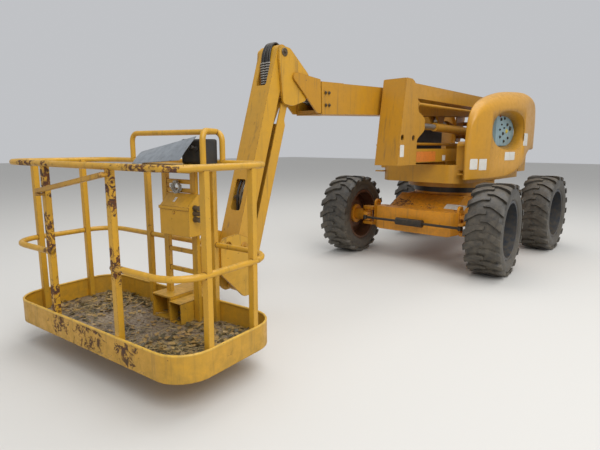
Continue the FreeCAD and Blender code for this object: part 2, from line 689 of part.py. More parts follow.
def make_hood(label, side):
    skin = hood_loft(label + "_skin", side, "0")
    room = hood_loft(label + "_room", side, "hood_wall")
    tools = [room]
    if side > 0:
        tools.append(slab(label + "_port", "XZ", "hood_inner", "400", rect(
            "port_x - port_long / 2", "port_z - port_tall / 2",
            "port_x + port_long / 2", "port_z + port_tall / 2", "port_tall / 2 - 8")))
    shell = cut(label + "_shell", skin, tools)
    hinges = []
    for index, z in enumerate(HINGE_LEVELS):
        name = "%s_hinge_%d" % (label, index)
        hinges.append(rod(name, "Z", "hinge_x", "%d * hinge_y" % side, z + " - 30", "76", "11"))
        for level, at in (("low", z + " - 30"), ("top", z + " + 21")):
            hinges.append(box("%s_%s" % (name, level), "880", "%d * hinge_y - 11" % side, at,
                              "hinge_x - 880", "22", "25"))
    return node(label, fuse(label, [shell] + hinges))


make_hood("hood_left", 1)
make_hood("hood_right", -1)


# Lower arm, upright, upper arm and rear upright
def make_arm(label, rear_x, z, extras=()):
    """Box arm with round ends, hollow between its pins."""
    half = "arm_tall / 2"
    wide = "arm_wide - 60"
    end_x = "%s + arm_length" % rear_x
    body = slab(label + "_box", "XZ", "arm_y - (%s) / 2" % wide, wide,
                rect("%s - %s" % (rear_x, half), "%s - %s" % (z, half),
                     "%s + %s" % (end_x, half), "%s + %s" % (z, half), half + " - 1"))
    room = box(label + "_room", "%s + 110" % rear_x, "arm_y - (%s) / 2 + arm_wall" % wide,
               "%s - %s + arm_wall" % (z, half), "arm_length - 220", "%s - 2 * arm_wall" % wide,
               "arm_tall - 2 * arm_wall")
    bores = [cross_pin("%s_bore_%d" % (label, index), x, z, "arm_y", "arm_wide",
                       "arm_pin_dia / 2 + pin_gap") for index, x in enumerate((rear_x, end_x))]
    whole = cut(label + "_body", body, [room] + bores)
    return node(label, fuse(label, [whole] + list(extras)) if extras else whole)


# Lift cylinder's foot on the lower arm: two plates and a pin
foot_plates = [slab("arm_ram_foot_%d" % (side + 1), "XZ",
                    "arm_y + 56" if side > 0 else "arm_y - 71", "15", [
                        ("arm_ram_x - 140", "lower_pin_z + arm_tall / 2 - 2"),
                        ("arm_ram_x + 170", "lower_pin_z + arm_tall / 2 - 2"),
                        ("arm_ram_x + 45", "arm_ram_z + 42", "30"),
                        ("arm_ram_x - 45", "arm_ram_z + 42", "30")]) for side in (1, -1)]
foot_plates.append(cross_pin("arm_ram_foot_pin", "arm_ram_x", "arm_ram_z", "arm_y", "142", "22"))
make_arm("lower_arm", "lower_pin_x", "lower_pin_z", foot_plates)
make_arm("upper_arm", "upper_pin_x - arm_length", "upper_pin_z")

front_x = "lower_pin_x + arm_length"
upright_side = [
    (front_x + " - 150", "lower_pin_z - 95", "30"),
    (front_x + " + 190", "lower_pin_z - 95", "10"),
    ("upper_pin_x + 160", "upper_pin_z + 105", "10"), ("upper_pin_x - 200", "upper_pin_z + 105", "60"),
    ("upper_pin_x - 200", "upper_pin_z - 180", "60"), ("1380", "1720", "50"), ("1380", "1590", "50"),
    (front_x + " - 150", "1480", "60"),
]
upright_parts = []
for side in (1, -1):
    start = "arm_y + arm_wide / 2 - 14" if side > 0 else "arm_y - arm_wide / 2"
    upright_parts.append(slab("upright_plate_%d" % (side + 1), "XZ", start, "14", upright_side, holes=[
        (front_x + " + 130", "1500", "22"), (front_x + " - 60", "1510", "22")]))
cover = slab("upright_cover", "XZ", "arm_y - arm_wide / 2", "arm_wide", [
    (front_x + " + 176", "lower_pin_z - 95"), (front_x + " + 190", "lower_pin_z - 95"),
    ("upper_pin_x + 160", "upper_pin_z + 105"), ("upper_pin_x + 146", "upper_pin_z + 105"),
])
upright_parts.append(cover)
for index, (x, z, radius) in enumerate((
        (front_x, "lower_pin_z", "arm_pin_dia / 2"), ("upper_pin_x", "upper_pin_z", "arm_pin_dia / 2"),
        ("upper_pin_x - link_back", "upper_pin_z - link_drop", "18"),
        (front_x + " - link_back", "lower_pin_z + link_drop", "18"))):
    upright_parts.append(cross_pin("upright_pin_%d" % index, x, z, "arm_y", "arm_wide", radius))
node("upright", fuse("upright", upright_parts))

rear_x = "upper_pin_x - arm_length"
knuckle_side = [
    (rear_x + " - 170", "upper_pin_z + 120", "60"), (rear_x + " + 75", "upper_pin_z + 120", "60"),
    (rear_x + " + 75", "upper_pin_z - 200", "40"), (rear_x + " + 60", "1480", "50"),
    (rear_x + " - 90", "1480", "50"),
    (rear_x + " - 230", "upper_pin_z - 150", "60"),
]
knuckle_parts = []
short_side = knuckle_side[:2] + [(rear_x + " + 75", "upper_pin_z - 210", "40"),
                                 (rear_x + " - 200", "upper_pin_z - 210", "40")]
for index, (y, side_shape) in enumerate((("arm_y + arm_wide / 2 + side_gap", short_side),
                                         ("boom_y + boom_wide / 2 + side_gap", knuckle_side),
                                         ("boom_y - boom_wide / 2 - side_gap - 16", knuckle_side))):
    knuckle_parts.append(slab("rear_plate_%d" % index, "XZ", y, "16", side_shape))
full_wide = "arm_y + arm_wide / 2 + 21 - (boom_y - boom_wide / 2 - 21)"
full_y = "(arm_y + arm_wide / 2 + 21 + boom_y - boom_wide / 2 - 21) / 2"
for index, (x, z, radius) in enumerate((
        ("upper_pin_x - arm_length", "upper_pin_z", "arm_pin_dia / 2"),
        (rear_x + " - link_back", "upper_pin_z - link_drop", "18"))):
    knuckle_parts.append(cross_pin("rear_pin_%d" % index, x, z, "arm_y", "arm_wide + 20", radius))
for index, (x, z, radius) in enumerate((
        ("boom_pin_x", "boom_pin_z", "boom_pin_dia / 2"), ("-930", "1560", "25"))):
    knuckle_parts.append(cross_pin("boom_base_%d" % index, x, z, "boom_y",
                                   "boom_wide + 20", radius))
knuckle_parts.append(box("rear_brace", rear_x + " - 200", full_y + " - (%s) / 2" % full_wide,
                         "upper_pin_z - 260", "20", full_wide, "60"))
node("rear_knuckle", fuse("rear_knuckle", knuckle_parts))


# Parallel links of the arms
def make_link(label, x, z, y, long):
    bar = rod(label + "_bar", "X", x, y, z, long, "link_dia / 2 - 4")
    eyes = [cross_pin("%s_eye_%d" % (label, index), spot, z, y, "30", "34")
            for index, spot in enumerate((x, "%s + %s" % (x, long)))]
    bores = [cross_pin("%s_hole_%d" % (label, index), spot, z, y, "40", "18 + pin_gap")
             for index, spot in enumerate((x, "%s + %s" % (x, long)))]
    return node(label, cut(label, fuse(label + "_whole", [bar] + eyes), bores))


make_link("upper_link", rear_x + " - link_back", "upper_pin_z - link_drop", "arm_y + 100",
          "arm_length")
make_link("lower_link", "lower_pin_x - link_back", "lower_pin_z + link_drop", "arm_y - 100",
          "arm_length")


# A hydraulic cylinder lies along its own X axis: barrel with its eye at the start, then the rod
# and that rod's eye carries the pin that turns between the plates of what it moves
def make_ram(label, x, y, z, tilt, length, barrel_long, bore, rod_dia, eye_r, pin_r, pin_long,
             stem_at="60"):
    barrel = rod(label + "_tube", "X", eye_r + " - 6", "0", "0",
                 "%s - %s" % (barrel_long, eye_r), bore + " / 2")
    eye = cross_pin(label + "_base_eye", "0", "0", "0", "60", eye_r)
    hole = cross_pin(label + "_base_hole", "0", "0", "0", "70", pin_r + " + pin_gap")
    inside = rod(label + "_inside", "X", "%s + 40" % eye_r, "0", "0",
                 "%s + 10" % barrel_long, rod_dia + " / 2 + pin_gap")
    case = cut(label + "_barrel", fuse(label + "_case", [barrel, eye]), [hole, inside])
    node(label + "_barrel", place(case, x, y, z, "Y", tilt))
    stem = rod(label + "_stem", "X", "%s + %s" % (eye_r, stem_at), "0", "0",
               "%s - %s - %s - %s + 6" % (length, eye_r, stem_at, eye_r), rod_dia + " / 2")
    tip = cross_pin(label + "_rod_eye", length, "0", "0", "56", eye_r)
    tip_pin = cross_pin(label + "_rod_pin", length, "0", "0", pin_long, pin_r)
    piston = fuse(label + "_rod", [stem, tip, tip_pin])
    node(label + "_rod", place(piston, x, y, z, "Y", tilt))


make_ram("arm_ram", "arm_ram_x", "arm_y", "arm_ram_z", "-atan2(1655 - arm_ram_z; 1450 - arm_ram_x)",
         "sqrt((1450 - arm_ram_x) ^ 2 + (1655 - arm_ram_z) ^ 2)", "1360", "100", "60", "40", "22",
         "arm_wide - 28 - 2 * side_gap")

# Main boom: outer section, inner section with its head
boom_body = tube_x("boom_tube", "-boom_tail", "boom_front + boom_tail", "0", "boom_wide", "0",
                   "boom_tall", "boom_wall")
boom_lug = [slab("boom_lug_%d" % (side + 1), "XZ", "%d * 50 - 12" % side, "24", [
    ("1030", "-boom_tall / 2 - 0"), ("1090", "-boom_tall / 2 - 90", "30"),
    ("1190", "-boom_tall / 2 - 90", "30"), ("1270", "-boom_tall / 2")]) for side in (1, -1)]
boom_bore = cross_pin("boom_bore", "0", "0", "0", "boom_wide + 10", "boom_pin_dia / 2 + pin_gap")
collar = slab("boom_collar", "YZ", "boom_front - 330", "330",
              rect("-boom_wide / 2 - 3", "-boom_tall / 2 - 3", "boom_wide / 2 + 3", "boom_tall / 2 + 3"))
collar = pocket(collar, "boom_collar_bore", "YZ", "boom_front - 330", "330",
                rect("-boom_wide / 2 + 2", "-boom_tall / 2 + 2", "boom_wide / 2 - 2",
                     "boom_tall / 2 - 2"))
pads = []
for tag, along, span, reach_out, reach_in in (
        ("side", "boom_front - 120", "fly_tall - 60", "boom_wide / 2 - 2", "fly_wide / 2 + pin_gap"),
        ("belly", "boom_front - 120", "fly_wide - 60", "boom_tall / 2 - 2", "fly_tall / 2 + pin_gap")):
    for side in (1, -1):
        low = reach_in if side > 0 else "-(%s)" % reach_out
        deep = "%s - (%s)" % (reach_out, reach_in)
        if tag == "side":
            pads.append(box("pad_side_%d" % (side + 1), along, low, "-(%s) / 2" % span, "110", deep,
                            span))
        else:
            pads.append(box("pad_belly_%d" % (side + 1), along, "-(%s) / 2" % span, low, "110", span,
                            deep))
outer = cut("boom_outer", fuse("boom_outer_whole", [boom_body, collar] + boom_lug + pads),
            [boom_bore])
node("boom_outer", place(outer, "boom_pin_x", "boom_y", "boom_pin_z", "Y", "boom_tilt"))

# Places on the boom in its own frame, worked out from the parked pose
head_x = "(head_pin_x - boom_pin_x) * cos(boom_tilt) - (head_pin_z - boom_pin_z) * sin(boom_tilt)"
head_z = "(head_pin_x - boom_pin_x) * sin(boom_tilt) + (head_pin_z - boom_pin_z) * cos(boom_tilt)"
fly_tube = tube_x("fly_tube", "fly_rear", "boom_front + 20 - fly_rear", "0", "fly_wide", "0",
                  "fly_tall", "fly_wall")
head_side = [
    ("boom_front + 8", "-boom_tall / 2 + 8", "12"), ("boom_front + 60", "-boom_tall / 2 + 8", "12"),
    (head_x + " + 170", head_z + " + 18", "25"), (head_x + " + 130", head_z + " + 60", "25"),
    ("boom_front + 8", "boom_tall / 2 + 20", "12"),
]
head_parts = []
for side in (1, -1):
    start = "boom_wide / 2 - 15" if side > 0 else "-boom_wide / 2"
    head_parts.append(slab("head_plate_%d" % (side + 1), "XZ", start, "15", head_side))
head_block = slab("head_block", "YZ", "boom_front + 8", "14",
                  rect("-boom_wide / 2", "-boom_tall / 2 + 8", "boom_wide / 2", "boom_tall / 2 + 10"))
head_block = pocket(head_block, "head_block_bore", "YZ", "boom_front + 8", "14",
                    rect("-fly_wide / 2 + fly_wall", "-fly_tall / 2 + fly_wall",
                         "fly_wide / 2 - fly_wall", "fly_tall / 2 - fly_wall"))
head_pin = cross_pin("head_pin", head_x, head_z, "0", "boom_wide - 10", "30")
level_x = "head_pin_x + 20"
level_z = "head_pin_z - 140"
level_dx = "620"
level_dz = "40"
base_dx = "(%s - %s - boom_pin_x)" % (level_x, level_dx)
base_dz = "(%s - %s - boom_pin_z)" % (level_z, level_dz)
level_pin = cross_pin("level_pin", base_dx + " * cos(boom_tilt) - " + base_dz + " * sin(boom_tilt)",
                      base_dx + " * sin(boom_tilt) + " + base_dz + " * cos(boom_tilt)", "0",
                      "fly_wide - 6", "jib_pin_dia / 2")
fly = fuse("boom_inner", [fly_tube, head_block, head_pin, level_pin] + head_parts)
node("boom_inner", place(fly, "boom_pin_x", "boom_y", "boom_pin_z", "Y", "boom_tilt"))

# Boom ram between the rear upright and the boom's belly
lug_x = "boom_pin_x + 1140 * cos(boom_tilt) - (boom_tall / 2 + 50) * sin(boom_tilt)"
lug_z = "boom_pin_z - 1140 * sin(boom_tilt) - (boom_tall / 2 + 50) * cos(boom_tilt)"
ram_dx = "(%s + 930)" % lug_x
ram_dz = "(%s - 1560)" % lug_z
make_ram("boom_ram", "-930", "boom_y", "1560", "-atan2(%s; %s)" % (ram_dz, ram_dx),
         "sqrt(%s ^ 2 + %s ^ 2)" % (ram_dx, ram_dz), "820", "110", "64", "44", "25", "76 - 2 * side_gap")

# Jib knuckle: two plates with three pins
gap = "jib_wide / 2 + side_gap"
link_x = "jib_pin_x - link_across * sin(jib_tilt) + link_along * cos(jib_tilt)"
link_z = "jib_pin_z - link_across * cos(jib_tilt) - link_along * sin(jib_tilt)"
jib_knuckle_side = [
    ("head_pin_x - 60", "head_pin_z + 50", "45"), ("jib_pin_x - 70", "jib_pin_z + 40", "50"),
    ("jib_pin_x + 50", "jib_pin_z + 50", "45"), ("jib_pin_x + 60", "jib_pin_z - 60", "45"),
    (link_x + " + 60", link_z + " - 40", "40"), (link_x + " - 60", link_z + " - 50", "40"),
    ("head_pin_x - 18", "head_pin_z - 172", "45"),
]
jk_parts = []
for side in (1, -1):
    start = gap if side > 0 else "-(%s) - knuckle_plate" % gap
    jk_parts.append(slab("jib_knuckle_plate_%d" % (side + 1), "XZ", "boom_y + %s" % start,
                         "knuckle_plate", jib_knuckle_side,
                         holes=[("head_pin_x", "head_pin_z", "30 + pin_gap")]))
for index, (x, z) in enumerate((("jib_pin_x", "jib_pin_z"), (link_x, link_z))):
    jk_parts.append(cross_pin("jib_knuckle_pin_%d" % index, x, z, "boom_y",
                              "2 * (%s) + 20" % gap, "jib_pin_dia / 2"))
node("jib_knuckle", fuse("jib_knuckle", jk_parts))

# Level ram inside the inner section
make_ram("level_ram", level_x + " - " + level_dx, "boom_y", level_z + " - " + level_dz,
         "-atan2(%s; %s)" % (level_dz, level_dx), "sqrt(%s ^ 2 + %s ^ 2)" % (level_dx, level_dz),
         "420", "70", "40", "38", "jib_pin_dia / 2", "2 * (%s) - 2 * side_gap" % gap, "200")


# Jib: a channel open to the rear, with windows near its ends
def channel(name, long, wide, low, high, wall, web_high, back):
    """Channel along X with its web on the side given by web_high."""
    whole = slab(name + "_whole", "YZ", "0", long,
                 rect("-%s / 2" % wide, low, "%s / 2" % wide, high))
    inner_low = low + " - 1" if web_high else "%s + %s" % (low, wall)
    inner_high = "%s - %s" % (high, wall) if web_high else high + " + 1"
    return pocket(whole, name + "_room", "YZ", "0", long,
                  rect("-%s / 2 + %s" % (wide, wall), inner_low, "%s / 2 - %s" % (wide, wall),
                       inner_high))


jib_channel = channel("jib_channel", "jib_length", "jib_wide", "-jib_deep / 2", "jib_deep / 2",
                      "jib_wall", True, True)
jib_windows = [
    slab("jib_window_top", "XY", "0", "200", rect("90", "-60", "300", "60", "20")),
    slab("jib_window_low", "XY", "0", "200", rect("1100", "-60", "1360", "60", "20")),
]
jib_eyes = [cross_pin("jib_eye_%d" % index, x, "0", "0", "jib_wide", "jib_deep / 2")
            for index, x in enumerate(("0", "jib_length"))]
jib_bores = [cross_pin("jib_bore_%d" % index, x, "0", "0", "jib_wide + 10",
                       "jib_pin_dia / 2 + pin_gap") for index, x in enumerate(("0", "jib_length"))]
jib = cut("jib", fuse("jib_whole", [jib_channel] + jib_eyes), jib_windows + jib_bores)
node("jib", place(jib, "jib_pin_x", "boom_y", "jib_pin_z", "Y", "jib_tilt"))

link_channel = channel("jib_link_channel", "jib_length", "link_wide", "-link_deep / 2 - 8",
                       "link_deep / 2 - 8", "jib_wall", False, True)
link_eyes = [cross_pin("jib_link_eye_%d" % index, x, "0", "0", "link_wide", "40")
             for index, x in enumerate(("0", "jib_length"))]
link_clear = cross_pin("jib_link_clear", "0", "0", "0", "link_wide - 2 * jib_wall", "46")
link_bores = [cross_pin("jib_link_bore_%d" % index, x, "0", "0", "link_wide + 10",
                        "jib_pin_dia / 2 + pin_gap") for index, x in enumerate(("0", "jib_length"))]
link_relief = slab("jib_link_relief", "XZ", "-link_wide / 2 - 1", "link_wide + 2", [
    ("48", "-link_deep / 2 - 20"), ("230", "-link_deep / 2 - 20"), ("170", "-link_deep / 2 + 14"),
    ("48", "-link_deep / 2 + 14")])
jib_link = cut("jib_link", fuse("jib_link_whole", [link_channel] + link_eyes),
               link_bores + [link_clear, link_relief])
node("jib_link", place(jib_link, link_x, "boom_y", link_z, "Y", "jib_tilt"))

jib_ram_x = "jib_pin_x + 1250 * cos(jib_tilt)"
jib_ram_z = "jib_pin_z - 1250 * sin(jib_tilt)"
jr_dx = "(%s - (%s))" % (jib_ram_x, link_x)
jr_dz = "(%s - (%s))" % (jib_ram_z, link_z)
make_ram("jib_ram", link_x, "boom_y", link_z, "-atan2(%s; %s)" % (jr_dz, jr_dx),
         "sqrt(%s ^ 2 + %s ^ 2)" % (jr_dx, jr_dz), "740", "76", "44", "36", "jib_pin_dia / 2",
         "jib_wide - 2 * jib_wall - 2 * side_gap")

# Basket carrier below the jib, with the rotator on its nose
low_x = "jib_pin_x + jib_length * cos(jib_tilt)"
low_z = "jib_pin_z - jib_length * sin(jib_tilt)"
foot_x = link_x + " + jib_length * cos(jib_tilt)"
foot_z = link_z + " - jib_length * sin(jib_tilt)"
carrier_side = [
    (foot_x + " - 50", foot_z + " - 45", "40"), (foot_x + " + 60", foot_z + " - 45", "40"),
    ("rotator_x - 75", "420", "30"), ("rotator_x - 75", "700", "60"), (low_x + " + 60", "720", "60"),
    (low_x + " - 55", low_z + " + 60", "50"), (low_x + " - 55", low_z + " - 60", "50"),
]
carrier_parts = []
for side in (1, -1):
    start = gap if side > 0 else "-(%s) - knuckle_plate" % gap
    carrier_parts.append(slab("carrier_plate_%d" % (side + 1), "XZ", "boom_y + %s" % start,
                              "knuckle_plate", carrier_side, holes=[("carrier_hole_x", "carrier_hole_z",
                                                                 "carrier_hole_dia / 2")]))
for index, (x, z) in enumerate(((low_x, low_z), (foot_x, foot_z))):
    carrier_parts.append(cross_pin("carrier_pin_%d" % index, x, z, "boom_y",
                                   "2 * (%s) + 20" % gap, "jib_pin_dia / 2"))
carrier_parts.append(rod("rotator_body", "Z", "rotator_x", "rotator_y", "rotator_z", "260", "80"))
carrier_parts.append(box("rotator_seat", "rotator_x - 110", "boom_y - 115", "420", "60", "230", "240"))
node("basket_carrier", fuse("basket_carrier", carrier_parts))


# Basket, built about its own middle, then turned about the rotator
def place_basket(thing):
    return place(thing, "rotator_x + basket_reach * cos(basket_turn)",
                 "rotator_y + basket_reach * sin(basket_turn)", "0", "Z", "basket_turn")


half_u = "basket_long / 2"
half_v = "basket_wide / 2"


def basket_plan(inset):
    return rect("-%s + %s" % (half_v, inset), "-%s + %s" % (half_u, inset),
                "%s - %s" % (half_v, inset), "%s - %s" % (half_u, inset),
                "basket_corner - %s" % inset)


toe = slab("toe_board", "XY", "floor_z", "toe_high", basket_plan("0"))
toe = pocket(toe, "toe_inside", "XY", "floor_z + floor_thick", "toe_high - floor_thick",
             basket_plan("toe_thick"))
foot_notch = box("foot_notch", "-%s - 1" % half_v, "-foot_wide / 2 - pin_gap", "floor_z + floor_thick",
                 "toe_thick + 2", "foot_wide + 2 * pin_gap", "toe_high")
node("basket_floor", place_basket(cut("basket_floor", toe, [foot_notch])))


def rail_loop(name, z, inset):
    """Round tube along the basket's plan, its middle line at inset from the edge."""
    body = doc.addObject("PartDesign::Body", name)
    path = sketch_on(body, name + "_path", "XY", z)
    add_outline(path, basket_plan(inset))
    ring_sketch = sketch_on(body, name + "_ring", "XZ", "0")
    add_circle(ring_sketch, "%s - %s" % (half_v, inset), z, "rail_dia / 2")
    pipe = body.newObject("PartDesign::AdditivePipe", name + "_pipe")
    pipe.Profile = ring_sketch
    pipe.Spine = (path, ["Edge%d" % (index + 1) for index in range(8)])
    body.Tip = pipe
    return body


rails = [rail_loop("top_rail_loop", "top_rail", "rail_dia / 2")]
rails.append(rail_loop("mid_rail_loop", "mid_rail", "rail_dia / 2"))
# Posts: v, u of the middle
POSTS = [(-180, -880), (180, -880), (-180, 880), (180, 880), (380, 360), (380, -560), (-380, 330),
         (-380, -330)]
for index, (v, u) in enumerate(POSTS):
    v_low = "max(min(%d; %s - toe_thick - post_side / 2); -%s + toe_thick + post_side / 2)" % (
        v, half_v, half_v)
    u_low = "max(min(%d; %s - toe_thick - post_side / 2); -%s + toe_thick + post_side / 2)" % (
        u, half_u, half_u)
    rails.append(box("post_%d" % index, v_low + " - post_side / 2", u_low + " - post_side / 2",
                     "floor_z + floor_thick", "post_side", "post_side",
                     "top_rail - floor_z - floor_thick"))
node("basket_rails", place_basket(fuse("basket_rails", rails)))

# Rotator foot and the open tube that carries the basket
foot_tube = tube_x("foot_tube", "-basket_reach + 40", "basket_reach - 40 - 190", "0", "foot_wide",
                   "floor_z + floor_thick + foot_tall / 2", "foot_tall", "10")
foot_drum = rod("foot_drum", "Z", "-basket_reach", "0", "floor_z + floor_thick",
                "rotator_z - pin_gap - floor_z - floor_thick", "80")
node("basket_foot", place_basket(fuse("basket_foot", [foot_tube, foot_drum])))

# Console on the side towards the boom
console = slab("console_box", "YZ", "-%s + 50" % half_v, "230",
         [("-60", "760"), ("330", "760"), ("330", "1000"), ("270", "1060"), ("0", "1060"), ("-60", "1000")])
node("console", place_basket(fuse("console", [console, box("console_leg", "-%s + 60" % half_v, "100",
                                                            "floor_z + floor_thick", "60", "60",
                                                            "760 - floor_z")])))

doc.recompute()
for thing in doc.Objects:
    if "Invalid" in thing.State or "Error" in thing.State:
        raise ValueError("%s failed: %s" % (thing.Label, thing.State))
for thing in NODES:
    shape = thing.Shape
    if shape.isNull() or not shape.isValid():
        raise ValueError("%s has no valid shape" % thing.Label)

os.makedirs("parts", exist_ok=True)
for thing in NODES:
    thing.Shape.exportStep("parts/%s.step" % thing.Label)
    print(thing.Label, len(thing.Shape.Solids), round(thing.Shape.Volume / 1e6, 2))
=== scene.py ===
# %% [markdown]
# An articulating boom lift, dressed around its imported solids.
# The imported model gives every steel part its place, and this script adds what a solid leaves out:
# the wear of old paint, tyre tread, bolts, hoses, blank plates and the straw on the basket floor.

# %% Load the frame
import json
import math
import random
import bpy
import bmesh
from mathutils import Matrix, Vector
from mathutils.bvhtree import BVHTree


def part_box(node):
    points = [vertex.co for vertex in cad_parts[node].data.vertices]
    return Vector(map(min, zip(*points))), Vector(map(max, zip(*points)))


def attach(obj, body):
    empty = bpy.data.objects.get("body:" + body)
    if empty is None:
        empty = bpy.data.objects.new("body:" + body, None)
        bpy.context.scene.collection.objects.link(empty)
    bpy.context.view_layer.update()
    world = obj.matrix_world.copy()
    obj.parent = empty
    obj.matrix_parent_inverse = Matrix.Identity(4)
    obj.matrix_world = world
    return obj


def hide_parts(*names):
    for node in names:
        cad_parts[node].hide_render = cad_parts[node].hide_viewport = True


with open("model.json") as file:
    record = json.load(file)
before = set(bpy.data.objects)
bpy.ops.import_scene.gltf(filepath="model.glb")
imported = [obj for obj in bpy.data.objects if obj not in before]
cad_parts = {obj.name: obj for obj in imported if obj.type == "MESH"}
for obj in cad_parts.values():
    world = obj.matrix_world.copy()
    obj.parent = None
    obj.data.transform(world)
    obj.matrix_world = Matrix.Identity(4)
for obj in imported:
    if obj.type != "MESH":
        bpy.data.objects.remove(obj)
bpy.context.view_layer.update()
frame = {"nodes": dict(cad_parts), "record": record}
NODES = frame["nodes"]
BODY_OF = {node: body for body, nodes in frame["record"]["behaviour"]["bodies"].items()
           for node in nodes}

# %% [markdown]
# The camera stands in front of the basket at eye height, as a visitor in the yard would.
# Its place is measured once from known edges of the machine, so its turn is written as three
# axes instead of being aimed by hand.


# %% Camera
def placed(name, data):
    """An object of some data, put in the scene."""
    made = bpy.data.objects.new(name, data)
    bpy.context.scene.collection.objects.link(made)
    return made


CAMERA_AT = Vector((6.0915, 2.7278, 1.4072))
HEADING, PITCH, ROLL = math.radians(222.203), math.radians(9.702), math.radians(0.1835)
ahead = Vector((math.cos(HEADING) * math.cos(PITCH), math.sin(HEADING) * math.cos(PITCH),
                -math.sin(PITCH)))
level_right = Vector((math.sin(HEADING), -math.cos(HEADING), 0))
level_up = level_right.cross(ahead)
right = level_right * math.cos(ROLL) + level_up * math.sin(ROLL)
up = level_up * math.cos(ROLL) - level_right * math.sin(ROLL)
lens = bpy.data.cameras.new("camera")
lens.sensor_width = 36.0
lens.lens = 27.57
lens.clip_start = 0.05
camera = placed("camera", lens)
camera.matrix_world = Matrix.Translation(CAMERA_AT) @ Matrix(
    (right, up, -ahead)).transposed().to_4x4()
bpy.context.scene.camera = camera
print("camera", [round(v, 2) for v in camera.location])

# %% [markdown]
# Colours are written as they look in daylight, from 0 to 255, and turned to the linear values
# that a shader wants.


# %% Colour helper
def colour(red, green, blue):
    """Linear colour of a daylight one, with an alpha of 1."""
    def linear(value):
        value = value / 255
        return value / 12.92 if value <= 0.04045 else ((value + 0.055) / 1.055) ** 2.4
    return (linear(red), linear(green), linear(blue), 1.0)


# %% [markdown]
# Painted steel that has stood outside for years shows four things at once: a colour that drifts
# from patch to patch, chips along the edges with rust in them, rain streaks, and dust that
# settles low and on top faces. One node group makes all four, and each paint sets their strength.


# %% Node helpers
def feed(tree, node, values):
    """Fills sockets of a node, each from another node's socket or with a plain value."""
    for socket, value in values.items():
        if isinstance(value, bpy.types.NodeSocket):
            tree.links.new(value, node.inputs[socket])
        else:
            node.inputs[socket].default_value = value
    return node.outputs


def noise(tree, vector, scale, detail, rough, warp):
    return feed(tree, tree.nodes.new("ShaderNodeTexNoise"),
                {"Vector": vector, "Scale": scale, "Detail": detail, "Roughness": rough,
                 "Distortion": warp})["Fac"]


def ramp(tree, value, low, high):
    """0 below low, 1 above high, smooth between."""
    node = tree.nodes.new("ShaderNodeMapRange")
    node.interpolation_type = "SMOOTHSTEP"
    return feed(tree, node, {"Value": value, "From Min": low, "From Max": high})["Result"]


def maths(tree, kind, first, second):
    node = tree.nodes.new("ShaderNodeMath")
    node.operation = kind
    node.use_clamp = kind != "SUBTRACT"
    return feed(tree, node, {0: first, 1: second})[0]


def vector_maths(tree, kind, first, second):
    node = tree.nodes.new("ShaderNodeVectorMath")
    node.operation = kind
    return feed(tree, node, {0: first, 1: second})


def mix(tree, factor, first, second):
    """One colour going over into another."""
    node = tree.nodes.new("ShaderNodeMix")
    node.data_type = "RGBA"
    return feed(tree, node, {0: factor, 6: first, 7: second})[2]


# %% Weathered paint group
SOCKETS_IN = {"Vector": ["Vector"], "Color": ["Paint", "Faded", "Grime", "Rust"],
              "Float": ["Fading", "Chips", "Streaks", "Dust", "Dust Height", "Edge", "Fleck Spots"]}
SOCKETS_OUT = {"Color": ["Color"], "Float": ["Roughness", "Height"]}
# scale, detail, roughness and warp of each noise
PATCHES, MOTTLE = (2.3, 5.0, 0.62, 0.4), (17.0, 6.0, 0.7, 0.2)
RUNS, RAIN_STRETCH = (1.0, 4.0, 0.65, 0.3), (26.0, 26.0, 1.7)
BROKEN, FLECKS = (42.0, 5.0, 0.72, 0.5), (21.0, 7.0, 0.75, 0.8)
OLD_RUST = colour(58, 44, 36)


